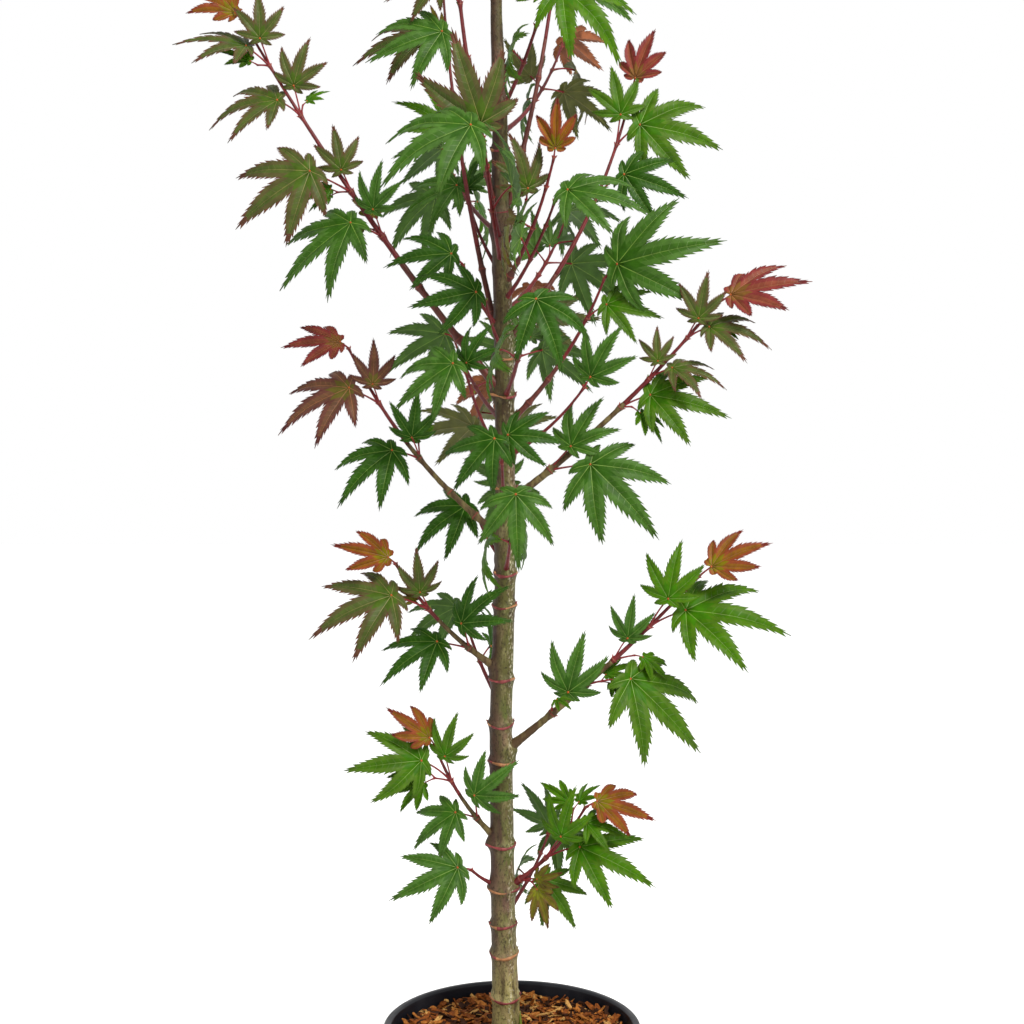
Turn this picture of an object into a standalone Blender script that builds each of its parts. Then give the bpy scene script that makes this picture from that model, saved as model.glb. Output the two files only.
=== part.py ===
"""A young Japanese maple in a round nursery pot.

The plant stands in its pot on a level surface, with the origin at the middle of the pot's flat underside.
+Z is up, -Y is the front of the plant and +X its right. Sizes are in metres.

One slim trunk rises from the potting mix. Each shoot leaves it at a collar: a bare bough first, then a
leafy end, which is one solid made of the shoot's stem, its leaf stalks and its seven-lobed leaves. Leaves
stand in opposite pairs, one pair at each node of the shoot, and one or two smaller leaves end it.
"""

import math
import random
from typing import NamedTuple

import bmesh
import bpy
from mathutils import Matrix, Vector
from mathutils.bvhtree import BVHTree

# Pot and potting mix
POT_HEIGHT = 0.240
RIM_RADIUS = 0.1285
RIM_WIDTH = 0.008
RIM_DEPTH = 0.016
WALL_TOP_RADIUS = 0.1240
FOOT_RADIUS = 0.1050
WALL = 0.0030
FLOOR = 0.0040
POT_STEPS = 40
MIX_TOP = 0.2250
CLEARANCE = 0.0003

# Trunk: height, place from left to right, place from front to back, and radius, from the soil to the tip
TRUNK_LINE = (
    (MIX_TOP + CLEARANCE, -0.0060, 0.000, 0.0165),
    (0.2330, -0.0060, 0.000, 0.0147),
    (0.2500, -0.0060, 0.000, 0.0133),
    (0.3500, -0.0090, 0.002, 0.0121),
    (0.5400, -0.0115, 0.000, 0.0112),
    (0.6900, -0.0065, -0.003, 0.0102),
    (0.8900, -0.0075, 0.000, 0.0095),
    (1.0500, -0.0120, 0.003, 0.0088),
    (1.1500, -0.0120, 0.002, 0.0076),
    (1.2500, -0.0160, 0.000, 0.0058),
    (1.4300, -0.0120, 0.000, 0.0028),
)
COLLARS = (0.266, 0.310, 0.338, 0.375, 0.418, 0.501, 0.539, 0.583, 0.657, 0.689, 0.773, 0.867, 0.903,
           1.050, 1.113, 1.183)
COLLAR_SWELL = 1.09
COLLAR_HALF = 0.005
TRUNK_BEVEL = 4

# Shoots
TWIG_RADIUS = 0.0012
TAPER = 0.8
BOUGH_BEVEL = 1
STEM_BEVEL = 0
BOUGH_STEPS = 4
YOUNG_WOOD = 0.80
STEM_STEPS = 5

# Leaves: angle off the midrib in degrees and length against the middle lobe, for the lobes of one half
LOBES = ((0.0, 1.00), (39.0, 0.88), (79.0, 0.60))
SINUS = 0.36
BELLY_AT = 0.50
BELLY_TURN = 13.0
BASE_LOBE = (122.0, 0.30)
LEAF_BACK = 0.08
BLADE = 0.082
LEAF_THICK = 0.036
LEAF_DROOP = 0.16
STALK_RADIUS = 0.0011
STALK_SHARE = 0.42
STALK_SPREAD = 48.0
END_SPREAD = {1: (0.0, 14.0), -1: (22.0, 42.0)}
END_BLADE = {1: 0.88, -1: 0.70}
UPPER_BLADE = 0.66
UPPER_STALK = 1.3
HANG = 0.8
AIM_PLAY = 6.0
CROSSWISE = "crosswise"
CROSS_REACH = 0.055
CROSS_LONG = 0.11
CROSS_SHARES = (0.80, 0.50)
TRIES = 16
SEED = 303


class Shoot(NamedTuple):
    """One shoot of the plant, from its foot on the trunk to its last node: its bare share, the shares where
    leaf pairs stand, and its leaves from the end down, the lower one of each pair first. A leaf has the
    direction of its middle lobe in degrees and its length in millimetres. None is a missing leaf, and luck
    sets all leaves of a shoot that lists none."""

    name: str
    foot: float
    tip: tuple
    girth: float
    bare: float = 0.0
    pairs: tuple = ()
    leaves: tuple = ()
    bow: float = 0.06


SHOOTS = (
    Shoot("left_spur", 0.376, (-0.040, -0.012, 0.396), 0.0020, leaves=((204, 70),)),
    Shoot("left_1", 0.419, (-0.076, -0.020, 0.521), 0.0030, 0.22, (0.30, 0.68),
          ((148, 52), None, (185, 78), (82, 47), (215, 62), (45, 55))),
    Shoot("left_2", 0.592, (-0.113, -0.035, 0.700), 0.0034, 0.22, (0.27, 0.64),
          ((168, 56), None, (197, 85), (88, 44), (208, 62), (45, 62))),
    Shoot("left_3", 0.723, (-0.166, 0.025, 0.917), 0.0038, 0.36, (0.47, 0.75),
          ((182, 64), (160, 62), (200, 88), (88, 48), (220, 76), (80, 50))),
    Shoot("left_4", 0.867, (-0.268, 0.000, 1.240), 0.0044, 0.38, (0.44, 0.56, 0.76, 0.89),
          ((150, 62), (100, 52), (170, 72), (90, 52), (185, 78), (78, 50), (211, 93), (95, 50), (218, 98),
           (80, 45)), bow=0.02),
    Shoot("left_5", 0.903, (-0.072, 0.050, 1.300), 0.0034, 0.30, (0.55, 0.80),
          ((185, 66), (80, 52), (190, 84), None, (150, 56), None), bow=0.03),
    Shoot("left_6", 1.028, (-0.062, -0.030, 1.395), 0.0032, 0.38, (0.47, 0.61, 0.80),
          ((150, 56), (60, 48), (185, 62), (80, 44), (188, 60), (80, 42), (197, 80), None), bow=0.03),
    Shoot("right_1", 0.372, (0.072, -0.025, 0.461), 0.0028, 0.0, (0.18, 0.46, 0.78),
          ((-15, 66), None, (-10, 45), (85, 42), (-18, 78), (85, 50), (-50, 58), None)),
    Shoot("right_2", 0.509, (0.182, -0.035, 0.688), 0.0044, 0.20, (0.25, 0.42, 0.56, 0.74),
          ((25, 68), None, (-8, 100), (84, 60), None, (88, 45), (-43, 105), None, None, (82, 66)), bow=0.02),
    Shoot("right_3", 0.758, (0.196, -0.040, 0.950), 0.0042, 0.16, (0.20, 0.53, 0.67, 0.86),
          ((12, 82), None, (-12, 62), (78, 46), (-8, 56), (90, 38), (-15, 78), None, (-42, 98), (60, 62)),
          bow=0.03),
    Shoot("right_4", 0.836, (0.091, -0.020, 0.981), 0.0030, 0.45, (0.76,),
          ((12, 100), (85, 48), (-12, 58), None)),
    Shoot("right_5", 0.917, (0.124, 0.045, 1.188), 0.0032, 0.30, (0.62, 0.80),
          ((75, 64), None, (-12, 99), (105, 58), (-20, 70), None)),
    Shoot("right_6", 0.973, (0.040, -0.060, 1.090), 0.0026, 0.30, leaves=((90, 54), (5, 45))),
    Shoot("right_7", 1.033, (0.050, 0.020, 1.375), 0.0032, 0.58, (0.68, 0.86), bow=0.03),
    Shoot("front_1", 0.690, (0.002, -0.100, 0.765), 0.0022, leaves=((-88, 70),)),
    Shoot("front_2", 0.745, (-0.010, -0.110, 0.815), 0.0024, leaves=((-135, 66), (-5, 56))),
    Shoot("front_3", 0.865, (0.016, -0.135, 0.940), 0.0024, leaves=((-63, 68),)),
    Shoot("front_4", 1.000, (-0.026, -0.130, 1.090), 0.0024, leaves=((205, 96),)),
    Shoot("front_5", 0.800, (-0.044, -0.055, 0.884), 0.0022, leaves=((215, 74), (60, 45))),
    Shoot("front_6", 1.020, (-0.026, -0.085, 1.098), 0.0022, leaves=((104, 88),)),
    Shoot("front_7", 0.805, (0.070, -0.035, 0.872), 0.0020, leaves=((62, 60),)),
    Shoot("front_8", 0.910, (-0.026, -0.040, 0.956), 0.0020, leaves=((192, 62),)),
    Shoot("front_9", 0.990, (-0.046, 0.045, 1.078), 0.0022, leaves=((200, 72), (80, 42))),
    Shoot("front_10", 0.930, (-0.048, -0.020, 0.994), 0.0022, leaves=((188, 66), (70, 42))),
    Shoot("front_11", 1.012, (0.014, -0.045, 1.052), 0.0020, leaves=((98, 55),)),
    Shoot("front_12", 0.960, (0.040, -0.085, 1.042), 0.0022, leaves=((-12, 81),)),
    Shoot("front_13", 0.700, (-0.036, 0.020, 0.750), 0.0020, leaves=((208, 74),)),
    Shoot("back_1", 0.345, (0.038, 0.080, 0.409), 0.0024, leaves=((-140, 66), (60, 52))),
    Shoot("back_2", 0.560, (-0.052, 0.100, 0.644), 0.0026, leaves=((-30, 70), (110, 56))),
    Shoot("back_3", 0.660, (-0.006, 0.135, 0.775), 0.0028, leaves=((-95, 74), (60, 58))),
    Shoot("back_4", 0.770, (-0.015, 0.190, 0.890), 0.0030, 0.0, (0.62,)),
    Shoot("back_5", 0.840, (-0.065, 0.150, 0.945), 0.0028, leaves=((-30, 74), (80, 58))),
    Shoot("back_6", 0.865, (0.020, 0.200, 1.000), 0.0030, 0.0, (0.48, 0.74)),
    Shoot("back_7", 0.950, (0.060, 0.170, 1.080), 0.0030, 0.0, (0.62,)),
    Shoot("back_8", 1.030, (-0.075, 0.160, 1.150), 0.0030, 0.0, (0.62,)),
    Shoot("back_9", 1.130, (0.055, 0.160, 1.270), 0.0028, 0.0, (0.62,)),
    Shoot("top_left", 1.270, (-0.130, 0.020, 1.440), 0.0026, 0.24, (0.40, 0.72)),
    Shoot("top_right", 1.290, (0.105, -0.030, 1.450), 0.0026, 0.24, (0.40, 0.72)),
    Shoot("top_front", 1.150, (0.030, -0.085, 1.232), 0.0024, leaves=((-45, 92),)),
    Shoot("top_back", 1.340, (-0.010, 0.095, 1.470), 0.0024, 0.0, (0.44, 0.76)),
)
LEADER = Shoot("leader", 1.430, (-0.0101, 0.000, 1.515), 0.0024, 0.0, (0.30, 0.72), bow=0.0)

UP = Vector((0.0, 0.0, 1.0))
FRONT = Vector((0.0, -1.0, 0.0))
RIGHT = Vector((1.0, 0.0, 0.0))

POT_BLACK = ((0.018, 0.018, 0.020, 1.0), 0.38)
MIX_BROWN = ((0.150, 0.070, 0.035, 1.0), 0.90)
BARK = ((0.150, 0.155, 0.085, 1.0), 0.70)
CRIMSON_BARK = ((0.170, 0.050, 0.040, 1.0), 0.55)
LEAF_GREEN = ((0.060, 0.150, 0.035, 1.0), 0.50)


# Trunk and shoot lines

def trunk_at(height):
    """Centre and radius of the trunk at a height, without its collars."""
    height = min(max(height, TRUNK_LINE[0][0]), TRUNK_LINE[-1][0])
    for lower, upper in zip(TRUNK_LINE, TRUNK_LINE[1:]):
        if height <= upper[0]:
            break
    share = (height - lower[0]) / (upper[0] - lower[0])
    x, y, radius = (lower[k] + (upper[k] - lower[k]) * share for k in (1, 2, 3))
    return Vector((x, y, height)), radius


def trunk_stations():
    """Points and radii up the trunk, with three rings at each collar."""
    rings = {row[0]: 1.0 for row in TRUNK_LINE}
    for collar in COLLARS:
        for offset, swell in ((-COLLAR_HALF, 1.0), (0.0, COLLAR_SWELL), (COLLAR_HALF, 1.0)):
            rings[collar + offset] = swell
    points = []
    radii = []
    for height in sorted(rings):
        centre, radius = trunk_at(height)
        points.append(centre)
        radii.append(radius * rings[height])
    return points, radii


def shoot_frame(shoot):
    """Foot, bend and tip of a shoot's line."""
    foot, _ = trunk_at(shoot.foot)
    tip = Vector(shoot.tip)
    chord = tip - foot
    along = chord.normalized()
    out = Vector((chord.x, chord.y, 0.0))
    out -= along * out.dot(along)
    if out.length > 0.0:
        out.normalize()
    bend = (foot + tip) / 2 + out * shoot.bow * 2 * chord.length
    return foot, bend, tip


def shoot_point(shoot, share):
    """Point and direction on a shoot's line."""
    foot, bend, tip = shoot_frame(shoot)
    rest = 1.0 - share
    point = foot * rest * rest + bend * 2 * rest * share + tip * share * share
    along = (bend - foot) * rest + (tip - bend) * share
    return point, along.normalized()


def shoot_radius(shoot, share):
    return shoot.girth + (TWIG_RADIUS - shoot.girth) * share ** TAPER


def shoot_stations(shoot, start, end, steps):
    """Points and radii of a stretch of a shoot."""
    shares = [start + (end - start) * k / steps for k in range(steps + 1)]
    points = [shoot_point(shoot, share)[0] for share in shares]
    return points, [shoot_radius(shoot, share) for share in shares]


# Plain meshes as corner and face lists

def tube_mesh(points, radii, sides):
    """A closed tube through the points."""
    corners = []
    faces = []
    last = len(points) - 1
    side = Vector((1.0, 0.0, 0.0))
    for k, (point, radius) in enumerate(zip(points, radii)):
        along = (points[min(k + 1, last)] - points[max(k - 1, 0)]).normalized()
        if abs(along.dot(side)) > 0.9:
            side = Vector((0.0, 1.0, 0.0))
        side = (side - along * side.dot(along)).normalized()
        across = along.cross(side)
        for j in range(sides):
            turn = 2 * math.pi * j / sides
            corners.append(point + (side * math.cos(turn) + across * math.sin(turn)) * radius)
    for k in range(last):
        for j in range(sides):
            a = k * sides + j
            b = k * sides + (j + 1) % sides
            faces.append((a, b, b + sides, a + sides))
    faces.append(tuple(range(sides - 1, -1, -1)))
    faces.append(tuple(range(last * sides, (last + 1) * sides)))
    return corners, faces


def leaf_outline():
    """Points round the leaf for a middle lobe of length 1, as angle and distance from the stalk's end."""
    half = []
    for (angle, length), (next_angle, next_length) in zip(LOBES, LOBES[1:]):
        half.append((angle, length))
        half.append((angle + BELLY_TURN, BELLY_AT * length))
        half.append(((angle + next_angle) / 2, SINUS * (length + next_length) / 2))
        half.append((next_angle - BELLY_TURN, BELLY_AT * next_length))
    angle, length = LOBES[-1]
    half += [(angle, length), (angle + BELLY_TURN, BELLY_AT * length), BASE_LOBE]
    right = [(-angle, length) for angle, length in reversed(half[1:])]
    return half + [(180.0, LEAF_BACK)] + right


def blade_mesh(place, length, grow=0.0):
    """A leaf blade as a thin lens, its lobes drooping, with its stalk's end at the origin of place."""
    outline = leaf_outline()
    thick = LEAF_THICK * length / 2 + grow
    reach = length + grow
    corners = [place @ Vector((0.0, 0.0, thick)), place @ Vector((0.0, 0.0, -thick))]
    for angle, distance in outline:
        turn = math.radians(angle)
        corners.append(place @ Vector((
            reach * distance * math.cos(turn),
            reach * distance * math.sin(turn),
            -LEAF_DROOP * length * distance * distance,
        )))
    count = len(outline)
    faces = []
    for k in range(count):
        a = 2 + k
        b = 2 + (k + 1) % count
        faces.append((0, a, b))
        faces.append((1, b, a))
    return corners, faces


def tree_of(mesh):
    return BVHTree.FromPolygons(mesh[0], mesh[1])


# Leaf placing

def light_side(shoot):
    """The side that a shoot's leaves face."""
    return FRONT if shoot.tip[1] < 0.06 else -FRONT


class Leaf(NamedTuple):
    """One leaf: where its stalk starts and ends, the frame of its blade, and the blade's length."""

    node: Vector
    joint: Vector
    place: Matrix
    length: float


def blade_frame(joint, midrib, face):
    """Frame of a blade: X along the midrib, Z out of its upper face."""
    normal = (face - midrib * face.dot(midrib)).normalized()
    across = normal.cross(midrib)
    return Matrix((
        (midrib.x, across.x, normal.x, joint.x),
        (midrib.y, across.y, normal.y, joint.y),
        (midrib.z, across.z, normal.z, joint.z),
        (0.0, 0.0, 0.0, 1.0),
    ))


def wanted_leaves(shoot):
    """Share of the shoot, side of the pair and measure of each leaf, from the end down."""
    shares = (1.0,) + tuple(reversed(shoot.pairs))
    places = [(share, side) for share in shares for side in (1, -1)]
    if not shoot.leaves:
        return [(share, side, None) for share, side in places]
    return [(share, side, leaf) for (share, side), leaf in zip(places, shoot.leaves) if leaf]


def cross_leaves(shoot):
    """Share, side and measure of the leaves that face right or left, on the shoots that grow to the front or
    back: one, and a second on long shoots."""
    if abs(shoot.tip[1]) < CROSS_REACH:
        return []
    side = 1 if shoot.tip[0] > 0 else -1
    reach = Vector(shoot.tip) - trunk_at(shoot.foot)[0]
    shares = CROSS_SHARES if reach.length > CROSS_LONG else CROSS_SHARES[:1]
    return [(share, side * (-1) ** number, CROSSWISE) for number, share in enumerate(shares)]


def cross_leaf(shoot, share, side, luck):
    """A leaf that faces right or left, with its midrib outwards and down."""
    point, along = shoot_point(shoot, share)
    light = RIGHT * side
    turn = luck.uniform(-0.9, 0.5)
    flat = light_side(shoot) * math.cos(turn) + UP * math.sin(turn)
    midrib = flat + light * luck.uniform(0.0, 0.35)
    length = BLADE * luck.uniform(0.80, 1.05)
    stalk = along * 0.5 + flat * 0.3 + light * luck.uniform(0.3, 0.7)
    joint = point + stalk.normalized() * length * STALK_SHARE * luck.uniform(0.8, 1.2)
    face = light + UP * luck.uniform(0.1, 0.5)
    return Leaf(point, joint, blade_frame(joint, midrib.normalized(), face), length)


def aimed_leaf(shoot, share, side, measure, luck):
    """A leaf of a measured direction and length, seen from the side that it faces."""
    point, along = shoot_point(shoot, share)
    light = light_side(shoot)
    turn = math.radians(measure[0] + luck.uniform(-AIM_PLAY, AIM_PLAY))
    flat = UP.cross(light) * math.cos(turn) + UP * math.sin(turn)
    midrib = flat + light * luck.uniform(0.0, 0.45)
    length = measure[1] / 1000 * luck.uniform(0.92, 1.02) * midrib.length
    stalk = along * 0.6 + flat * 0.4 + light * luck.uniform(0.0, 0.4)
    stretch = 0.5 if share == 1.0 else UPPER_STALK if side < 0 else 1.0
    reach = length * STALK_SHARE * stretch * luck.uniform(0.8, 1.2)
    joint = point + stalk.normalized() * reach
    face = light * luck.uniform(0.7, 1.0) + UP * luck.uniform(0.2, 0.7) + along * luck.uniform(-0.3, 0.3)
    return Leaf(point, joint, blade_frame(joint, midrib.normalized(), face), length)


def leaf_try(shoot, share, side, luck):
    """A leaf at a shoot's node by luck alone: side 1 is the lower one of the pair, -1 the upper."""
    point, along = shoot_point(shoot, share)
    out = Vector((along.x, along.y, 0.0)).normalized()
    light = light_side(shoot)
    lower = along.cross(light).normalized()
    if lower.dot(out) < 0.0:
        lower.negate()
    facing = abs(out.dot(light))
    end = share == 1.0
    if end:
        spread = math.radians(luck.uniform(*END_SPREAD[side]))
        size = END_BLADE[side]
    else:
        spread = math.radians(STALK_SPREAD) * luck.uniform(0.8, 1.2)
        size = (1.0 if side > 0 else UPPER_BLADE) * (1.0 - 0.15 * share)
    roll = luck.uniform(-0.25, 0.60)
    sideways = lower * side * math.cos(roll) + light * math.sin(roll)
    stalk = along * math.cos(spread) + sideways * math.sin(spread)
    length = BLADE * size * luck.uniform(0.88, 1.14)
    reach = length * STALK_SHARE * (0.5 if end else 1.0) * luck.uniform(0.8, 1.2)
    joint = point + stalk * reach
    sink = luck.uniform(0.10, 0.75) if side > 0 else luck.uniform(0.0, 0.35)
    if end and side > 0:
        sink = sink / 4 + HANG * facing
    midrib = stalk - light * 0.7 * stalk.dot(light) + out * (1.0 - facing) * luck.uniform(0.0, 0.35)
    midrib += light * luck.uniform(-0.05, 0.35) - UP * sink
    aside = Vector((stalk.x, stalk.y, 0.0))
    face = light * luck.uniform(0.50, 1.0) + UP * luck.uniform(0.35, 1.0) + aside * luck.uniform(0.2, 0.9)
    return Leaf(point, joint, blade_frame(joint, midrib.normalized(), face), length)


def grow_leaf(shoot, share, side, measure, luck):
    """A leaf tried at a node: crosswise, of a measured direction and length, or by luck alone."""
    if measure == CROSSWISE:
        return cross_leaf(shoot, share, side, luck)
    if measure:
        return aimed_leaf(shoot, share, side, measure, luck)
    return leaf_try(shoot, share, side, luck)


def is_clear(leaf, others, own_stem):
    """True if the leaf, with some room round it, meets nothing."""
    blade = tree_of(blade_mesh(leaf.place, leaf.length, 0.0016))
    stretch = [leaf.node.lerp(leaf.joint, share) for share in (0.25, 0.95)]
    stalk = tree_of(tube_mesh(stretch, [2 * STALK_RADIUS] * 2, 4))
    if blade.overlap(own_stem):
        return False
    return not any(blade.overlap(other) or stalk.overlap(other) for other in others)


def place_leaves(shoots):
    """Leaves of every shoot, each clear of the trunk, the boughs and the leaves placed before it."""
    limbs = {"trunk": tree_of(tube_mesh(*trunk_stations(), 12))}
    for shoot in shoots:
        limbs[shoot.name] = tree_of(tube_mesh(*shoot_stations(shoot, 0.0, 1.0, STEM_STEPS), 6))
    rim = [Vector((0.0, 0.0, 0.0)), Vector((0.0, 0.0, POT_HEIGHT))]
    taken = [tree_of(tube_mesh(rim, [RIM_RADIUS] * 2, 24))]
    grown = {shoot.name: [] for shoot in shoots}
    lucks = [random.Random(SEED + number) for number in range(len(shoots))]
    for places in (wanted_leaves, cross_leaves):
        for shoot, luck in zip(shoots, lucks):
            others = taken + [tree for name, tree in limbs.items() if name != shoot.name]
            for share, side, measure in places(shoot):
                for _ in range(TRIES):
                    leaf = grow_leaf(shoot, share, side, measure, luck)
                    if is_clear(leaf, others, limbs[shoot.name]):
                        stalk = [leaf.node.lerp(leaf.joint, 0.2), leaf.joint]
                        added = [
                            tree_of(blade_mesh(leaf.place, leaf.length)),
                            tree_of(tube_mesh(stalk, [STALK_RADIUS] * 2, 3)),
                        ]
                        taken += added
                        others += added
                        grown[shoot.name].append(leaf)
                        break
    return grown


# Blender objects

def clear_scene():
    for item in list(bpy.data.objects):
        bpy.data.objects.remove(item, do_unlink=True)


def collection(name):
    made = bpy.data.collections.new(name)
    bpy.context.scene.collection.children.link(made)
    return made


def material(name, look):
    colour, roughness = look
    made = bpy.data.materials.new(name)
    made.use_nodes = True
    shader = made.node_tree.nodes["Principled BSDF"]
    shader.inputs["Base Color"].default_value = colour
    shader.inputs["Roughness"].default_value = roughness
    shader.inputs["Metallic"].default_value = 0.0
    made.diffuse_color = colour
    return made


def add_object(name, data, look, home):
    piece = bpy.data.objects.new(name, data)
    if look:
        data.materials.append(material(name, look))
    home.objects.link(piece)
    return piece


def solid_of(name, mesh, look, home):
    """An object from corner and face lists."""
    data = bpy.data.meshes.new(name)
    data.from_pydata([tuple(corner) for corner in mesh[0]], [], mesh[1])
    data.update()
    return add_object(name, data, look, home)


def evaluated_mesh(piece):
    """The mesh of an object with its modifiers applied."""
    bpy.context.view_layer.update()
    graph = bpy.context.evaluated_depsgraph_get()
    return bpy.data.meshes.new_from_object(piece.evaluated_get(graph))


def limb(name, points, radii, bevel, look, home):
    """A tapering limb: a bevelled curve with filled caps, made a welded mesh."""
    curve = bpy.data.curves.new(name, "CURVE")
    curve.dimensions = "3D"
    curve.bevel_depth = 1.0
    curve.bevel_resolution = bevel
    curve.use_fill_caps = True
    spline = curve.splines.new("POLY")
    spline.points.add(len(points) - 1)
    for knot, point, radius in zip(spline.points, points, radii):
        knot.co = (*point, 1.0)
        knot.radius = radius
    guide = bpy.data.objects.new(name + "_line", curve)
    home.objects.link(guide)
    data = evaluated_mesh(guide)
    bpy.data.objects.remove(guide, do_unlink=True)
    bpy.data.curves.remove(curve)
    weld(data, 1e-6)
    data.name = name
    return add_object(name, data, look, home)


def weld(data, distance):
    edit = bmesh.new()
    edit.from_mesh(data)
    bmesh.ops.remove_doubles(edit, verts=edit.verts, dist=distance)
    bmesh.ops.recalc_face_normals(edit, faces=edit.faces)
    edit.to_mesh(data)
    edit.free()


def combined(piece, operation, solver, cutter=None, others=None):
    """A new mesh: the piece cut by an object, or joined with a collection's objects."""
    step = piece.modifiers.new(operation.lower(), "BOOLEAN")
    step.operation = operation
    step.solver = solver
    if others:
        step.operand_type = "COLLECTION"
        step.collection = others
    else:
        step.object = cutter
    data = evaluated_mesh(piece)
    piece.modifiers.remove(step)
    return data


def apply_boolean(piece, operation, cutter=None, others=None):
    """Gives the piece the first result that is one closed body. False if there is none."""
    old = piece.data
    for solver, join in (("EXACT", 2e-6), ("EXACT", 2e-7), ("MANIFOLD", 2e-6), ("MANIFOLD", 2e-7)):
        data = combined(piece, operation, solver, cutter, others)
        if keep_largest(data, join):
            data.name = old.name
            piece.data = data
            bpy.data.meshes.remove(old)
            return True
        bpy.data.meshes.remove(data)
    return False


def keep_largest(data, join):
    """Drops loose scraps and sealed hollows, so only the largest body stays. False if that isn't closed."""
    edit = bmesh.new()
    edit.from_mesh(data)
    bmesh.ops.remove_doubles(edit, verts=edit.verts, dist=join)
    bmesh.ops.dissolve_degenerate(edit, edges=edit.edges, dist=join)
    bmesh.ops.triangulate(edit, faces=edit.faces)
    bodies = []
    seen = set()
    for first in edit.faces:
        if first in seen:
            continue
        body = []
        heap = [first]
        seen.add(first)
        while heap:
            face = heap.pop()
            body.append(face)
            for edge in face.edges:
                for near in edge.link_faces:
                    if near not in seen:
                        seen.add(near)
                        heap.append(near)
        bodies.append(body)
    bodies.sort(key=body_volume)
    scraps = [face for body in bodies[:-1] for face in body]
    bmesh.ops.delete(edit, geom=scraps, context="FACES")
    loose = [corner for corner in edit.verts if not corner.link_faces]
    bmesh.ops.delete(edit, geom=loose, context="VERTS")
    closed = all(len(edge.link_faces) == 2 for edge in edit.edges)
    edit.to_mesh(data)
    edit.free()
    return closed


def body_volume(faces):
    volume = 0.0
    for face in faces:
        a, b, c = (corner.co for corner in face.verts)
        volume += a.dot(b.cross(c)) / 6
    return volume


def turned(name, profile, look, home):
    """A turned solid: a profile spun once round the pot's axis."""
    data = bpy.data.meshes.new(name)
    corners = [(radius, 0.0, height) for radius, height in profile]
    data.from_pydata(corners, [(k, k + 1) for k in range(len(corners) - 1)], [])
    piece = add_object(name, data, look, home)
    spin = piece.modifiers.new("turn", "SCREW")
    spin.steps = POT_STEPS
    spin.render_steps = POT_STEPS
    spin.use_merge_vertices = True
    spin.merge_threshold = 1e-5
    data.shade_smooth()
    return piece


# Pot

def make_pot(home):
    """A thin-walled tapering pot with a rolled rim and a flat floor."""
    rim_inner = RIM_RADIUS - RIM_WIDTH
    profile = [
        (0.0, FLOOR),
        (FOOT_RADIUS - WALL, FLOOR),
        (WALL_TOP_RADIUS - WALL - 0.001, POT_HEIGHT - RIM_DEPTH),
        (rim_inner, POT_HEIGHT - 0.0020),
        (rim_inner + 0.0016, POT_HEIGHT),
        (RIM_RADIUS - 0.0022, POT_HEIGHT),
        (RIM_RADIUS, POT_HEIGHT - 0.0022),
        (RIM_RADIUS, POT_HEIGHT - RIM_DEPTH + 0.0020),
        (RIM_RADIUS - 0.0015, POT_HEIGHT - RIM_DEPTH),
        (WALL_TOP_RADIUS, POT_HEIGHT - RIM_DEPTH),
        (FOOT_RADIUS, 0.0030),
        (FOOT_RADIUS - 0.0030, 0.0),
        (0.0, 0.0),
    ]
    return turned("pot", profile, POT_BLACK, home)


def inner_wall(height):
    """Radius of the pot's inner wall at a height."""
    top = POT_HEIGHT - RIM_DEPTH
    share = (height - FLOOR) / (top - FLOOR)
    lower = FOOT_RADIUS - WALL
    upper = WALL_TOP_RADIUS - WALL - 0.001
    return lower + (upper - lower) * share


def make_mix(home):
    """The potting mix that fills the pot, flat on top where the trunk stands."""
    room = 0.0004
    shoulder = 0.0060
    low = FLOOR + CLEARANCE
    profile = [
        (0.0, MIX_TOP),
        (inner_wall(MIX_TOP) - 0.0200, MIX_TOP),
        (inner_wall(MIX_TOP - shoulder) - room, MIX_TOP - shoulder),
        (inner_wall(low) - room, low),
        (0.0, low),
    ]
    return turned("potting_mix", profile, MIX_BROWN, home)


# Plant

def make_trunk(home):
    points, radii = trunk_stations()
    return limb("trunk", points, radii, TRUNK_BEVEL, BARK, home)


def make_trunk_room(home):
    """The trunk's outline with the clearance round it, to cut the feet of the shoots."""
    points, radii = trunk_stations()
    room = limb("trunk_room", points, [radius + CLEARANCE for radius in radii], TRUNK_BEVEL, None, home)
    room.hide_render = True
    room.display_type = "WIRE"
    return room


def make_bough(shoot, room, home):
    points, radii = shoot_stations(shoot, 0.0, shoot.bare, BOUGH_STEPS)
    bark = BARK if shoot.foot < YOUNG_WOOD else CRIMSON_BARK
    bough = limb("bough_" + shoot.name, points, radii, BOUGH_BEVEL, bark, home)
    apply_boolean(bough, "DIFFERENCE", cutter=room)
    bough.data.shade_smooth()
    return bough


def make_leaves(shoot, leaves, room, home):
    """The leafy end of a shoot: stem, stalks and blades fused into one solid."""
    length = (Vector(shoot.tip) - trunk_at(shoot.foot)[0]).length
    on_limb = shoot.bare or shoot is LEADER
    start = shoot.bare + CLEARANCE / length if on_limb else 0.0
    points, radii = shoot_stations(shoot, start, 1.0, STEM_STEPS)
    mass = limb("leaves_" + shoot.name, points, radii, STEM_BEVEL, LEAF_GREEN, home)
    if not on_limb:
        apply_boolean(mass, "DIFFERENCE", cutter=room)
    sprays = collection("sprays_" + shoot.name)
    for leaf in leaves:
        stalk = tube_mesh([leaf.node, leaf.joint], [STALK_RADIUS, STALK_RADIUS * 0.9], 3)
        solid_of("stalk", stalk, None, sprays)
        solid_of("blade", blade_mesh(leaf.place, leaf.length), None, sprays)
    while sprays.objects and not apply_boolean(mass, "UNION", others=sprays):
        for piece in list(sprays.objects)[-2:]:
            bpy.data.objects.remove(piece, do_unlink=True)
    for piece in list(sprays.objects):
        bpy.data.objects.remove(piece, do_unlink=True)
    bpy.data.collections.remove(sprays)
    return mass


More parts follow.
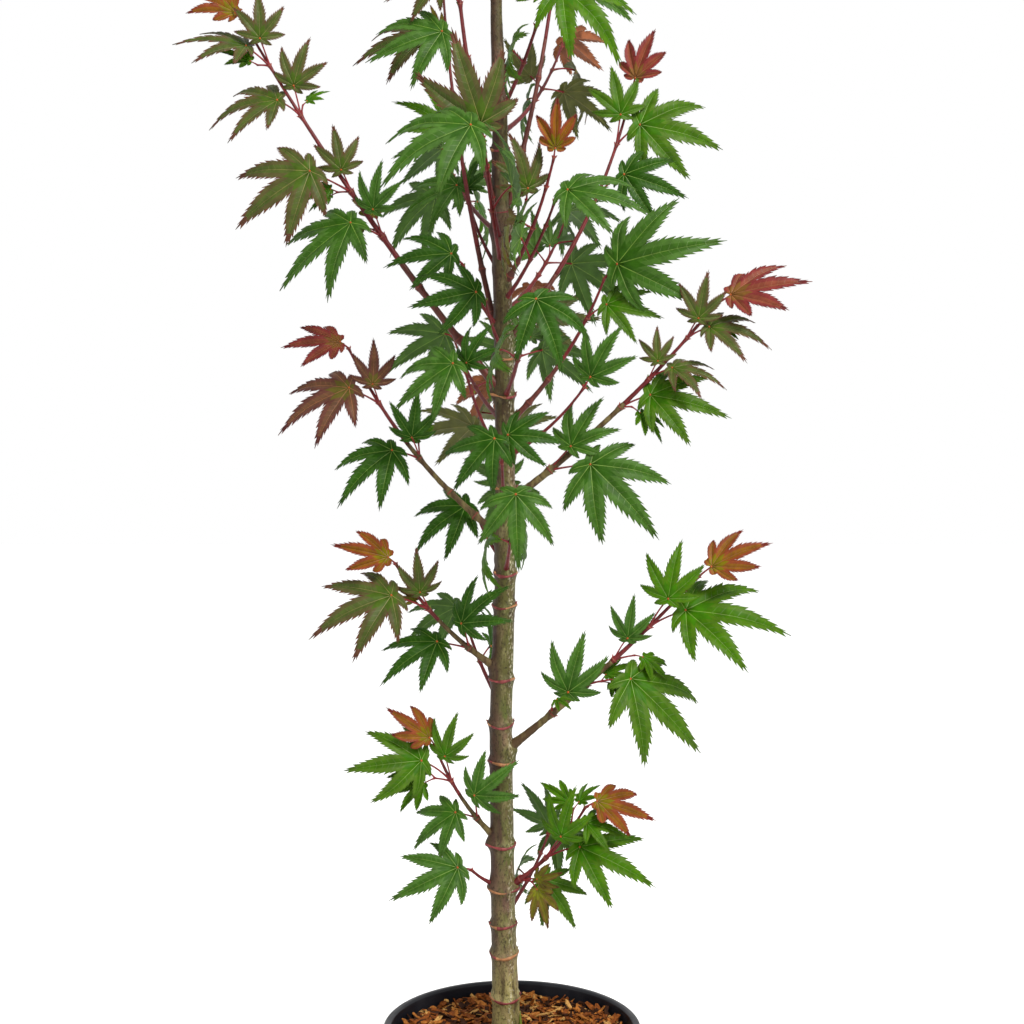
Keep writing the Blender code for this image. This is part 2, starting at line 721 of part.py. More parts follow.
def main():
    clear_scene()
    plant = collection("potted_maple")
    cutters = collection("cutters")
    make_pot(plant)
    make_mix(plant)
    make_trunk(plant)
    room = make_trunk_room(cutters)
    shoots = SHOOTS + (LEADER,)
    grown = place_leaves(shoots)
    for shoot in shoots:
        if shoot.bare:
            make_bough(shoot, room, plant)
        make_leaves(shoot, grown[shoot.name], room, plant)


main()
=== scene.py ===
"""A young Japanese maple in a round nursery pot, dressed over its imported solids.

The shoots and leaves stand where the solids have them, because the same rule with the same seeded luck
places them again here. Each coarse leaf becomes a seven-lobed blade with teeth, ribs and an underside, and
each shoot goes on to spurs, leaflets, buds and bud scales. Sizes are in metres, +Z is up and -Y the front.
"""

import math
import random
from typing import NamedTuple

import bpy
import numpy as np
from mathutils import Matrix, Vector, noise
from mathutils.bvhtree import BVHTree


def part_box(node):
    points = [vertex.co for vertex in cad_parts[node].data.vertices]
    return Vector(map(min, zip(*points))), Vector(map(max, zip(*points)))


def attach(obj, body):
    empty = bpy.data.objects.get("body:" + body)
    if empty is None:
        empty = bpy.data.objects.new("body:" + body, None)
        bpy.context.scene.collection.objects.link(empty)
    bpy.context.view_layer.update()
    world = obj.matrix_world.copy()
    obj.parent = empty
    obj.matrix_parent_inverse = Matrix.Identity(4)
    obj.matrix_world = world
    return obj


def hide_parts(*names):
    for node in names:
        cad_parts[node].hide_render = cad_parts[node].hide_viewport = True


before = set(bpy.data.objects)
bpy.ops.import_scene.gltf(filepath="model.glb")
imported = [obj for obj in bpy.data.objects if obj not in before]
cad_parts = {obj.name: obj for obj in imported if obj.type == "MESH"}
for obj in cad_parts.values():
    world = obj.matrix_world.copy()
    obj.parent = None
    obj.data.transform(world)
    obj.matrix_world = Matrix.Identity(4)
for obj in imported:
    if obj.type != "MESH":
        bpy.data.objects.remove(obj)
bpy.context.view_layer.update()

BODY = "root"

# Photograph: a square picture in which a pixel is a millimetre at the trunk
PHOTO_PIXELS = 1024
PIXELS_PER_METRE = 1000.0
CAMERA_DISTANCE = 1.376
CAMERA_HEIGHT = 0.751
SENSOR = 36.0

# Pot and potting mix
POT_HEIGHT = 0.240
RIM_RADIUS = 0.1285
RIM_WIDTH = 0.008
RIM_DEPTH = 0.016
WALL_TOP_RADIUS = 0.1240
FOOT_RADIUS = 0.1050
WALL = 0.0030
FLOOR = 0.0040
POT_STEPS = 144
UNDER_RIM = POT_HEIGHT - RIM_DEPTH
INNER_TOP_RADIUS = WALL_TOP_RADIUS - WALL - 0.001
RIM_ROUND = 0.0030
SKIRT_ROUND = 0.0018
FOOT_ROUND = 0.0028
BANDS = (0.172, 0.120, 0.068)
BAND_HALF = 0.0022
BAND_DEEP = 0.0006
BAND_RISE = 0.0010
FOOT_RECESS = 0.0012
MIX_TOP = 0.2250
CLEARANCE = 0.0003
CHIPS = 2300
CHIP_SEED = 31
CHIP_SECTIONS = 5
LONG_CHIPS = 0.45
STEEP_CHIPS = 0.22
CHIP_HEAP = 0.0046
CHIP_MOUND = 0.0012
TOP_LAYER = 0.35

# Trunk: height, place from left to right, place from front to back, and radius, from the soil to the tip
TRUNK_LINE = (
    (MIX_TOP + CLEARANCE, -0.0060, 0.000, 0.0165),
    (0.2330, -0.0060, 0.000, 0.0147),
    (0.2500, -0.0060, 0.000, 0.0133),
    (0.3500, -0.0090, 0.002, 0.0121),
    (0.5400, -0.0115, 0.000, 0.0112),
    (0.6900, -0.0065, -0.003, 0.0102),
    (0.8900, -0.0075, 0.000, 0.0095),
    (1.0500, -0.0120, 0.003, 0.0088),
    (1.1500, -0.0120, 0.002, 0.0076),
    (1.2500, -0.0160, 0.000, 0.0058),
    (1.4300, -0.0120, 0.000, 0.0028),
)
COLLARS = (0.266, 0.310, 0.338, 0.375, 0.418, 0.501, 0.539, 0.583, 0.657, 0.689, 0.773, 0.867, 0.903,
           1.050, 1.113, 1.183)
COLLAR_SWELL = 1.09
COLLAR_HALF = 0.005
TRUNK_ROWS = 760
TRUNK_SIDES = 72
LOW_COLLARS = 4
RING_SECTIONS = 56
RING_SAG = 0.0016
RING_BULGE = 0.0016
RING_BULGE_HALF = 0.0060
RING_LIP = 0.0006
RING_LIP_HALF = 0.0022
RING_GROOVE_AT = 0.0066
RING_GROOVE_HALF = 0.0026
KNOB_RISE = 1.3
KNOB_ABOVE = 0.004
KNOB_HALF = 0.0085
KNOB_TURN = 0.60
BARK_FLUTE = 0.00042
BARK_GRAIN = 0.00016
LENTICELS = 520
LENTICEL_RISE = 0.00034

# Shoots
TWIG_RADIUS = 0.0012
TAPER = 0.8
YOUNG_WOOD = 0.80
STEM_STEPS = 5

# Leaves: angle off the midrib in degrees and length against the middle lobe, for the lobes of one half
LOBES = ((0.0, 1.00), (39.0, 0.88), (79.0, 0.60))
SINUS = 0.36
BELLY_AT = 0.50
BELLY_TURN = 13.0
BASE_LOBE = (122.0, 0.30)
LEAF_BACK = 0.08
BLADE = 0.082
LEAF_THICK = 0.036
LEAF_DROOP = 0.16
STALK_RADIUS = 0.0011
STALK_SHARE = 0.42
STALK_SPREAD = 48.0
END_SPREAD = {1: (0.0, 14.0), -1: (22.0, 42.0)}
END_BLADE = {1: 0.88, -1: 0.70}
UPPER_BLADE = 0.66
UPPER_STALK = 1.3
HANG = 0.8
AIM_PLAY = 6.0
CROSSWISE = "crosswise"
CROSS_REACH = 0.055
CROSS_LONG = 0.11
CROSS_SHARES = (0.80, 0.50)
LEAF_ROOM = 0.0016
BACK_FROM = 0.06
TRIES = 16
SEED = 303

# Finer blade: its bays, the lobe's belly, its teeth and its relief, against the blade's length
BAY = 0.31
BELLY = 0.26
YOUNG_BELLY = 0.40
TAPER_OF_LOBE = 1.5
TAIL_START = 0.78
RIB_ROW = 0.62
TOOTH_OUT = 0.034
TOOTH_ON = 0.45
BLADE_SHEET = 0.0045
RIB_WIDTH = 0.0075
RIB_LIFT = 0.0042
VEIN_WIDTH = 0.0045
VEIN_LIFT = 0.0022
VEIN_REACH = 0.85
PLEAT = 0.0085
PUFF = 0.0115
STEADY = 0.38
PLANS = 5

UP = Vector((0.0, 0.0, 1.0))
FRONT = Vector((0.0, -1.0, 0.0))
RIGHT = Vector((1.0, 0.0, 0.0))


class Shoot(NamedTuple):
    """One shoot of the plant, from its foot on the trunk to its last node: its tints and its leaves from the
    end down, the shares where leaf pairs stand, and its bare share. A tint is for a pair, or for one leaf of
    a shoot that ends in its only pair, and luck picks a green where none is listed. A leaf, the lower one of
    each pair first, has the direction of its middle lobe in degrees and its length in millimetres. None is a
    missing leaf, and luck sets all leaves of a shoot that lists none."""

    name: str
    foot: float
    tip: tuple
    girth: float
    tints: str = ""
    leaves: tuple = ()
    pairs: tuple = ()
    bare: float = 0.0
    bow: float = 0.06


SHOOTS = tuple(Shoot(*row) for row in (
    ("left_spur", 0.376, (-0.040, -0.012, 0.396), 0.0020, "blue", ((204, 70),)),
    ("left_1", 0.419, (-0.076, -0.020, 0.521), 0.0030, "orange grass blue",
     ((148, 52), None, (185, 78), (82, 47), (215, 62), (45, 55)), (0.30, 0.68), 0.22),
    ("left_2", 0.592, (-0.113, -0.035, 0.700), 0.0034, "orange bronze deep",
     ((168, 56), None, (197, 85), (88, 44), (208, 62), (45, 62)), (0.27, 0.64), 0.22),
    ("left_3", 0.723, (-0.166, 0.025, 0.917), 0.0038, "red brick deep",
     ((182, 64), (160, 62), (200, 88), (88, 48), (220, 76), (80, 50)), (0.47, 0.75), 0.36),
    ("left_4", 0.867, (-0.268, 0.000, 1.240), 0.0044, "orange bronze bronze bronze blue",
     ((150, 62), (100, 52), (170, 72), (90, 52), (185, 78), (78, 50), (211, 93), (95, 50), (218, 98),
     (80, 45)), (0.44, 0.56, 0.76, 0.89), 0.38, 0.02),
    ("left_5", 0.903, (-0.072, 0.050, 1.300), 0.0034, "olive bronze",
     ((185, 66), (80, 52), (190, 84), None, (150, 56), None), (0.55, 0.80), 0.30, 0.03),
    ("left_6", 1.028, (-0.062, -0.030, 1.395), 0.0032, "red bronze bronze blue",
     ((150, 56), (60, 48), (185, 62), (80, 44), (188, 60), (80, 42), (197, 80), None),
     (0.47, 0.61, 0.80), 0.38, 0.03),
    ("right_1", 0.372, (0.072, -0.025, 0.461), 0.0028, "orange fresh fresh grass",
     ((-15, 66), None, (-10, 45), (85, 42), (-18, 78), (85, 50), (-50, 58), None), (0.18, 0.46, 0.78)),
    ("right_2", 0.509, (0.182, -0.035, 0.688), 0.0044, "orange fresh blue grass blue",
     ((25, 68), None, (-8, 100), (84, 60), None, (88, 45), (-43, 105), None, None, (82, 66)),
     (0.25, 0.42, 0.56, 0.74), 0.20, 0.02),
    ("right_3", 0.758, (0.196, -0.040, 0.950), 0.0042, "red bronze bronze grass blue",
     ((12, 82), None, (-12, 62), (78, 46), (-8, 56), (90, 38), (-15, 78), None, (-42, 98), (60, 62)),
     (0.20, 0.53, 0.67, 0.86), 0.16, 0.03),
    ("right_4", 0.836, (0.091, -0.020, 0.981), 0.0030, "blue grass",
     ((12, 100), (85, 48), (-12, 58), None), (0.76,), 0.45),
    ("right_5", 0.917, (0.124, 0.045, 1.188), 0.0032, "red grass deep",
     ((75, 64), None, (-12, 99), (105, 58), (-20, 70), None), (0.62, 0.80), 0.30),
    ("right_6", 0.973, (0.040, -0.060, 1.090), 0.0026, "orange olive", ((90, 54), (5, 45)), (), 0.30),
    ("right_7", 1.033, (0.050, 0.020, 1.375), 0.0032, "", (), (0.68, 0.86), 0.58, 0.03),
    ("front_1", 0.690, (0.002, -0.100, 0.765), 0.0022, "blue", ((-88, 70),)),
    ("front_2", 0.745, (-0.010, -0.110, 0.815), 0.0024, "deep deep", ((-135, 66), (-5, 56))),
    ("front_3", 0.865, (0.016, -0.135, 0.940), 0.0024, "deep", ((-63, 68),)),
    ("front_4", 1.000, (-0.026, -0.130, 1.090), 0.0024, "blue", ((205, 96),)),
    ("front_5", 0.800, (-0.044, -0.055, 0.884), 0.0022, "blue deep", ((215, 74), (60, 45))),
    ("front_6", 1.020, (-0.026, -0.085, 1.098), 0.0022, "bronze", ((104, 88),)),
    ("front_7", 0.805, (0.070, -0.035, 0.872), 0.0020, "blue", ((62, 60),)),
    ("front_8", 0.910, (-0.026, -0.040, 0.956), 0.0020, "deep", ((192, 62),)),
    ("front_9", 0.990, (-0.046, 0.045, 1.078), 0.0022, "blue deep", ((200, 72), (80, 42))),
    ("front_10", 0.930, (-0.048, -0.020, 0.994), 0.0022, "deep blue", ((188, 66), (70, 42))),
    ("front_11", 1.012, (0.014, -0.045, 1.052), 0.0020, "bronze", ((98, 55),)),
    ("front_12", 0.960, (0.040, -0.085, 1.042), 0.0022, "blue", ((-12, 81),)),
    ("front_13", 0.700, (-0.036, 0.020, 0.750), 0.0020, "deep", ((208, 74),)),
    ("back_1", 0.345, (0.038, 0.080, 0.409), 0.0024, "", ((-140, 66), (60, 52))),
    ("back_2", 0.560, (-0.052, 0.100, 0.644), 0.0026, "", ((-30, 70), (110, 56))),
    ("back_3", 0.660, (-0.006, 0.135, 0.775), 0.0028, "", ((-95, 74), (60, 58))),
    ("back_4", 0.770, (-0.015, 0.190, 0.890), 0.0030, "red bronze", (), (0.62,)),
    ("back_5", 0.840, (-0.065, 0.150, 0.945), 0.0028, "", ((-30, 74), (80, 58))),
    ("back_6", 0.865, (0.020, 0.200, 1.000), 0.0030, "orange bronze", (), (0.48, 0.74)),
    ("back_7", 0.950, (0.060, 0.170, 1.080), 0.0030, "", (), (0.62,)),
    ("back_8", 1.030, (-0.075, 0.160, 1.150), 0.0030, "", (), (0.62,)),
    ("back_9", 1.130, (0.055, 0.160, 1.270), 0.0028, "orange bronze", (), (0.62,)),
    ("top_left", 1.270, (-0.130, 0.020, 1.440), 0.0026, "red bronze bronze", (), (0.40, 0.72), 0.24),
    ("top_right", 1.290, (0.105, -0.030, 1.450), 0.0026, "orange bronze", (), (0.40, 0.72), 0.24),
    ("top_front", 1.150, (0.030, -0.085, 1.232), 0.0024, "fresh", ((-45, 92),)),
    ("top_back", 1.340, (-0.010, 0.095, 1.470), 0.0024, "", (), (0.44, 0.76)),
))
LEADER = Shoot("leader", 1.430, (-0.0101, 0.000, 1.515), 0.0024, "red orange bronze", (), (0.30, 0.72),
               bow=0.0)
ALL_SHOOTS = SHOOTS + (LEADER,)

# Tints: the colour of a blade's heart, of its body, of its flanks and of its teeth, as screen colours.
# On the green tints the lighter, greyer flanks and teeth are painted sheen; on the others they are the
# leaf's redder margin.
TINTS = {
    "fresh": ((59, 113, 0), (63, 109, 0), (73, 111, 12), (71, 105, 16)),
    "grass": ((55, 103, 0), (63, 103, 8), (76, 109, 26), (74, 103, 28)),
    "blue": ((48, 88, 16), (56, 94, 24), (70, 106, 40), (66, 98, 36)),
    "deep": ((34, 74, 2), (42, 80, 10), (52, 88, 26), (50, 80, 26)),
    "bronze": ((68, 92, 24), (76, 90, 38), (84, 80, 44), (96, 60, 46)),
    "brick": ((94, 86, 34), (104, 72, 50), (98, 60, 50), (84, 44, 42)),
    "orange": ((118, 106, 12), (136, 90, 24), (134, 66, 36), (110, 42, 34)),
    "red": ((122, 84, 38), (134, 68, 50), (126, 50, 48), (100, 36, 38)),
    "olive": ((118, 120, 20), (110, 104, 30), (102, 84, 34), (94, 60, 34)),
}
GREENS = ("fresh", "fresh", "grass", "grass", "blue", "blue", "deep")
FAMILY = dict.fromkeys(GREENS, "green")
FAMILY.update(bronze="bronze", olive="bronze", brick="young", orange="young", red="young")
UNDERSIDES = {"green": (66, 104, 24), "bronze": (92, 96, 34), "young": (152, 86, 46)}
RIBS = {"green": (112, 146, 46), "bronze": (124, 118, 52), "young": (166, 104, 64)}
FINE_VEINS = {"green": (82, 122, 34), "bronze": (98, 96, 42), "young": (150, 82, 44)}


# Trunk and shoot lines

def trunk_at(height):
    """Centre and radius of the trunk at a height, without its collars."""
    height = min(max(height, TRUNK_LINE[0][0]), TRUNK_LINE[-1][0])
    for lower, upper in zip(TRUNK_LINE, TRUNK_LINE[1:]):
        if height <= upper[0]:
            break
    share = (height - lower[0]) / (upper[0] - lower[0])
    x, y, radius = (lower[k] + (upper[k] - lower[k]) * share for k in (1, 2, 3))
    return Vector((x, y, height)), radius


def trunk_stations():
    """Points and radii up the trunk, with three rings at each collar."""
    rings = {row[0]: 1.0 for row in TRUNK_LINE}
    for collar in COLLARS:
        for offset, swell in ((-COLLAR_HALF, 1.0), (0.0, COLLAR_SWELL), (COLLAR_HALF, 1.0)):
            rings[collar + offset] = swell
    points = []
    radii = []
    for height in sorted(rings):
        centre, radius = trunk_at(height)
        points.append(centre)
        radii.append(radius * rings[height])
    return points, radii


def swung(first, second, turn):
    """A direction turned from the first towards the second."""
    return first * math.cos(turn) + second * math.sin(turn)


def on_arch(start, middle, end, share):
    """A point on the arch from start to end that middle draws out."""
    rest = 1.0 - share
    return start * rest * rest + middle * 2 * rest * share + end * share * share


def even_shares(start, end, steps):
    return [start + (end - start) * k / steps for k in range(steps + 1)]


def shoot_frame(shoot):
    """Foot, bend and tip of a shoot's line."""
    foot, _ = trunk_at(shoot.foot)
    tip = Vector(shoot.tip)
    chord = tip - foot
    along = chord.normalized()
    out = Vector((chord.x, chord.y, 0.0))
    out -= along * out.dot(along)
    if out.length > 0.0:
        out.normalize()
    bend = (foot + tip) / 2 + out * shoot.bow * 2 * chord.length
    return foot, bend, tip


def shoot_point(shoot, share):
    """Point and direction on a shoot's line."""
    foot, bend, tip = shoot_frame(shoot)
    along = (bend - foot) * (1.0 - share) + (tip - bend) * share
    return on_arch(foot, bend, tip, share), along.normalized()


def shoot_length(shoot):
    return (Vector(shoot.tip) - trunk_at(shoot.foot)[0]).length


def shoot_radius(shoot, share):
    return shoot.girth + (TWIG_RADIUS - shoot.girth) * share ** TAPER


def shoot_stations(shoot, start, end, steps):
    """Points and radii of a stretch of a shoot."""
    shares = even_shares(start, end, steps)
    points = [shoot_point(shoot, share)[0] for share in shares]
    return points, [shoot_radius(shoot, share) for share in shares]


# Plain meshes as corner and face lists

def side_faces(rows, sides):
    """Four-cornered faces round the rows of corners of a tube."""
    faces = []
    for k in range(rows - 1):
        for j in range(sides):
            a = k * sides + j
            b = k * sides + (j + 1) % sides
            faces.append((a, b, b + sides, a + sides))
    return faces


def tube_mesh(points, radii, sides):
    """A closed tube through the points."""
    corners = []
    last = len(points) - 1
    side = RIGHT
    for k, (point, radius) in enumerate(zip(points, radii)):
        along = (points[min(k + 1, last)] - points[max(k - 1, 0)]).normalized()
        if abs(along.dot(side)) > 0.9:
            side = -FRONT
        side = (side - along * side.dot(along)).normalized()
        across = along.cross(side)
        for j in range(sides):
            turn = math.tau * j / sides
            corners.append(point + swung(side, across, turn) * radius)
    faces = side_faces(len(points), sides)
    faces.append(tuple(range(sides - 1, -1, -1)))
    faces.append(tuple(range(last * sides, (last + 1) * sides)))
    return corners, faces


def leaf_outline():
    """Points round the plain leaf, as angle and distance from its joint, for a middle lobe of length 1."""
    half = []
    for (angle, length), (next_angle, next_length) in zip(LOBES, LOBES[1:]):
        half.append((angle, length))
        half.append((angle + BELLY_TURN, BELLY_AT * length))
        half.append(((angle + next_angle) / 2, SINUS * (length + next_length) / 2))
        half.append((next_angle - BELLY_TURN, BELLY_AT * next_length))
    angle, length = LOBES[-1]
    half += [(angle, length), (angle + BELLY_TURN, BELLY_AT * length), BASE_LOBE]
    right = [(-angle, length) for angle, length in reversed(half[1:])]
    return half + [(180.0, LEAF_BACK)] + right


def blade_mesh(place, length, grow=0.0):
    """A plain leaf blade as a thin lens, which keeps the room that the finer blade grows in."""
    outline = leaf_outline()
    thick = LEAF_THICK * length / 2 + grow
    reach = length + grow
    corners = [place @ Vector((0.0, 0.0, thick)), place @ Vector((0.0, 0.0, -thick))]
    for angle, distance in outline:
        turn = math.radians(angle)
        corners.append(place @ Vector((
            reach * distance * math.cos(turn),
            reach * distance * math.sin(turn),
            -LEAF_DROOP * length * distance * distance,
        )))
    count = len(outline)
    faces = []
    for k in range(count):
        a = 2 + k
        b = 2 + (k + 1) % count
        faces.append((0, a, b))
        faces.append((1, b, a))
    return corners, faces


def tree_of(mesh):
    return BVHTree.FromPolygons(mesh[0], mesh[1])


# Leaf placing

class Leaf(NamedTuple):
    """One leaf: where its stalk starts and ends, the frame of its blade, and the blade's length."""

    node: Vector
    joint: Vector
    place: Matrix
    length: float


def blade_frame(joint, midrib, face):
    """Frame of a blade: X along the midrib, Z out of its upper face."""
    normal = (face - midrib * face.dot(midrib)).normalized()
    across = normal.cross(midrib)
    return Matrix((
        (midrib.x, across.x, normal.x, joint.x),
        (midrib.y, across.y, normal.y, joint.y),
        (midrib.z, across.z, normal.z, joint.z),
        (0.0, 0.0, 0.0, 1.0),
    ))


def set_leaf(node, joint, midrib, face, length):
    return Leaf(node, joint, blade_frame(joint, midrib.normalized(), face), length)


def light_side(shoot):
    """The side that a shoot's leaves turn to: the back of the plant for a shoot that grows there."""
    return FRONT if shoot.tip[1] < BACK_FROM else -FRONT


def wanted_leaves(shoot):
    """Share of the shoot, side of the pair and measure of each leaf, from the end down."""
    shares = (1.0,) + tuple(reversed(shoot.pairs))
    places = [(share, side) for share in shares for side in (1, -1)]
    if not shoot.leaves:
        return [(share, side, None) for share, side in places]
    return [(share, side, leaf) for (share, side), leaf in zip(places, shoot.leaves) if leaf]


def cross_leaves(shoot):
    """Share, side and measure of the leaves that face right or left, on the shoots that grow to the front or
    back: one, and a second on long shoots."""
    if abs(shoot.tip[1]) < CROSS_REACH:
        return []
    side = 1 if shoot.tip[0] > 0 else -1
    shares = CROSS_SHARES if shoot_length(shoot) > CROSS_LONG else CROSS_SHARES[:1]
    return [(share, side * (-1) ** number, CROSSWISE) for number, share in enumerate(shares)]


def cross_leaf(shoot, share, side, luck):
    """A leaf that faces right or left, with its midrib outwards and down."""
    point, along = shoot_point(shoot, share)
    light = RIGHT * side
    turn = luck.uniform(-0.9, 0.5)
    flat = swung(light_side(shoot), UP, turn)
    midrib = flat + light * luck.uniform(0.0, 0.35)
    length = BLADE * luck.uniform(0.80, 1.05)
    stalk = along * 0.5 + flat * 0.3 + light * luck.uniform(0.3, 0.7)
    joint = point + stalk.normalized() * length * STALK_SHARE * luck.uniform(0.8, 1.2)
    face = light + UP * luck.uniform(0.1, 0.5)
    return set_leaf(point, joint, midrib, face, length)


def aimed_leaf(shoot, share, side, measure, luck):
    """A leaf of a measured direction and length, seen from the side that it faces."""
    point, along = shoot_point(shoot, share)
    light = light_side(shoot)
    turn = math.radians(measure[0] + luck.uniform(-AIM_PLAY, AIM_PLAY))
    flat = swung(UP.cross(light), UP, turn)
    midrib = flat + light * luck.uniform(0.0, 0.45)
    length = measure[1] / 1000 * luck.uniform(0.92, 1.02) * midrib.length
    stalk = along * 0.6 + flat * 0.4 + light * luck.uniform(0.0, 0.4)
    stretch = 0.5 if share == 1.0 else UPPER_STALK if side < 0 else 1.0
    reach = length * STALK_SHARE * stretch * luck.uniform(0.8, 1.2)
    joint = point + stalk.normalized() * reach
    face = light * luck.uniform(0.7, 1.0) + UP * luck.uniform(0.2, 0.7) + along * luck.uniform(-0.3, 0.3)
    return set_leaf(point, joint, midrib, face, length)


def leaf_try(shoot, share, side, luck):
    """A leaf at a shoot's node by luck alone: side 1 is the lower one of the pair, -1 the upper."""
    point, along = shoot_point(shoot, share)
    out = Vector((along.x, along.y, 0.0)).normalized()
    light = light_side(shoot)
    lower = along.cross(light).normalized()
    if lower.dot(out) < 0.0:
        lower.negate()
    facing = abs(out.dot(light))
    end = share == 1.0
    if end:
        spread = math.radians(luck.uniform(*END_SPREAD[side]))
        size = END_BLADE[side]
    else:
        spread = math.radians(STALK_SPREAD) * luck.uniform(0.8, 1.2)
        size = (1.0 if side > 0 else UPPER_BLADE) * (1.0 - 0.15 * share)
    roll = luck.uniform(-0.25, 0.60)
    sideways = swung(lower * side, light, roll)
    stalk = swung(along, sideways, spread)
    length = BLADE * size * luck.uniform(0.88, 1.14)
    reach = length * STALK_SHARE * (0.5 if end else 1.0) * luck.uniform(0.8, 1.2)
    joint = point + stalk * reach
    sink = luck.uniform(0.10, 0.75) if side > 0 else luck.uniform(0.0, 0.35)
    if end and side > 0:
        sink = sink / 4 + HANG * facing
    midrib = stalk - light * 0.7 * stalk.dot(light) + out * (1.0 - facing) * luck.uniform(0.0, 0.35)
    midrib += light * luck.uniform(-0.05, 0.35) - UP * sink
    aside = Vector((stalk.x, stalk.y, 0.0))
    face = light * luck.uniform(0.50, 1.0) + UP * luck.uniform(0.35, 1.0) + aside * luck.uniform(0.2, 0.9)
    return set_leaf(point, joint, midrib, face, length)


def grow_leaf(shoot, share, side, measure, luck):
    """A leaf tried at a node: crosswise, of a measured direction and length, or by luck alone."""
    if measure == CROSSWISE:
        return cross_leaf(shoot, share, side, luck)
    if measure:
        return aimed_leaf(shoot, share, side, measure, luck)
    return leaf_try(shoot, share, side, luck)


def is_clear(leaf, others, own_stem):
    """True if the leaf, with some room round it, meets nothing."""
    blade = tree_of(blade_mesh(leaf.place, leaf.length, LEAF_ROOM))
    stretch = [leaf.node.lerp(leaf.joint, share) for share in (0.25, 0.95)]
    stalk = tree_of(tube_mesh(stretch, [2 * STALK_RADIUS] * 2, 4))
    if blade.overlap(own_stem):
        return False
    return not any(blade.overlap(other) or stalk.overlap(other) for other in others)


def claim(leaf, *lists):
    """Adds a leaf to the lists of what later leaves keep clear of."""
    stalk = [leaf.node.lerp(leaf.joint, 0.2), leaf.joint]
    added = [tree_of(blade_mesh(leaf.place, leaf.length)), tree_of(tube_mesh(stalk, [STALK_RADIUS] * 2, 3))]
    for trees in lists:
        trees.extend(added)


class Sprig(NamedTuple):
    """A leaf with the share of its shoot where it stands and its side of the pair."""

    leaf: Leaf
    share: float
    side: int


def place_leaves(shoots):
    """Leaves of every shoot, each clear of the trunk, the boughs and the leaves placed before it, and then
    the finer spurs of small leaves that still find room."""
    limbs = {"trunk": tree_of(tube_mesh(*trunk_stations(), 12))}
    for shoot in shoots:
        limbs[shoot.name] = tree_of(tube_mesh(*shoot_stations(shoot, 0.0, 1.0, STEM_STEPS), 6))
    rim = [Vector((0.0, 0.0, 0.0)), Vector((0.0, 0.0, POT_HEIGHT))]
    taken = [tree_of(tube_mesh(rim, [RIM_RADIUS] * 2, 24))]
    grown = {shoot.name: [] for shoot in shoots}
    lucks = [random.Random(SEED + number) for number in range(len(shoots))]
    for places in (wanted_leaves, cross_leaves):
        for shoot, luck in zip(shoots, lucks):
            others = taken + [tree for name, tree in limbs.items() if name != shoot.name]
            for share, side, measure in places(shoot):
                for _ in range(TRIES):
                    leaf = grow_leaf(shoot, share, side, measure, luck)
                    if is_clear(leaf, others, limbs[shoot.name]):
                        claim(leaf, taken, others)
                        grown[shoot.name].append(Sprig(leaf, share, side))
                        break
    return grown, place_spurs(shoots, limbs, taken)


# Finer growth at the nodes

SPUR_SHARE = 0.75
SPUR_LENGTH = (0.10, 0.26)
LEAFLET = (0.30, 0.52)
SPUR_TRIES = 8
SPUR_SEED = 900


class Spur(NamedTuple):
    """A short side twig with its small leaves."""

    foot: Vector
    tip: Vector
    leaves: tuple


def spur_try(shoot, share, luck):
    """A spur at a node: a short twig near the shoot's own direction that ends in one or two leaflets."""
    point, along = shoot_point(shoot, share)
    light = light_side(shoot)
    turn = luck.uniform(0.0, math.tau)
    first = along.cross(light).normalized()
    aside = swung(first, along.cross(first), turn)
    lean = math.radians(luck.uniform(24.0, 58.0))
    twig = swung(along, aside, lean)
    tip = point + twig * BLADE * luck.uniform(*SPUR_LENGTH)
    leaves = []
    for side in (1, -1)[:luck.choice((1, 2, 2))]:
        swing = math.radians(luck.uniform(18.0, 46.0)) * side
        sideways = twig.cross(light).normalized()
        stalk = swung(twig, sideways, swing)
        length = BLADE * luck.uniform(*LEAFLET)
        joint = tip + stalk * length * STALK_SHARE * luck.uniform(0.5, 0.9)
        midrib = stalk - UP * luck.uniform(0.0, 0.8) + light * luck.uniform(0.0, 0.3)
        face = light * luck.uniform(0.5, 1.0) + UP * luck.uniform(0.3, 1.0)
        face += sideways * luck.uniform(-0.4, 0.4)
        leaves.append(set_leaf(tip, joint, midrib, face, length))
    return Spur(point, tip, tuple(leaves))


def place_spurs(shoots, limbs, taken):
    """Spurs that find room and stay inside the space of their shoot's leafy solid."""
    spurs = {}
    for number, shoot in enumerate(shoots):
        luck = random.Random(SPUR_SEED + number)
        low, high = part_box("leaves_" + shoot.name)
        spurs[shoot.name] = []
        others = taken + [tree for name, tree in limbs.items() if name != shoot.name]
        for share in shoot.pairs:
            if luck.random() > SPUR_SHARE:
                continue
            for _ in range(SPUR_TRIES):
                spur = spur_try(shoot, share, luck)
                meshes = [blade_mesh(leaf.place, leaf.length) for leaf in spur.leaves]
                corners = [corner for mesh in meshes for corner in mesh[0]]
                inside = all(low[k] <= corner[k] <= high[k] for corner in corners for k in range(3))
                if inside and all(is_clear(leaf, others, limbs[shoot.name]) for leaf in spur.leaves):
                    for leaf in spur.leaves:
                        claim(leaf, taken, others)
                    spurs[shoot.name].append(spur)
                    break
    return spurs


# Pieces gathered from many small meshes

def show(name, data):
    """A new object in the scene."""
    made = bpy.data.objects.new(name, data)
    bpy.context.scene.collection.objects.link(made)
    return made


def mesh_data(name, corners, edges, faces, finishes):
    """A mesh with its finishes."""
    data = bpy.data.meshes.new(name)
    data.from_pydata(corners, edges, faces)
    for finish in finishes:
        data.materials.append(finish)
    return data


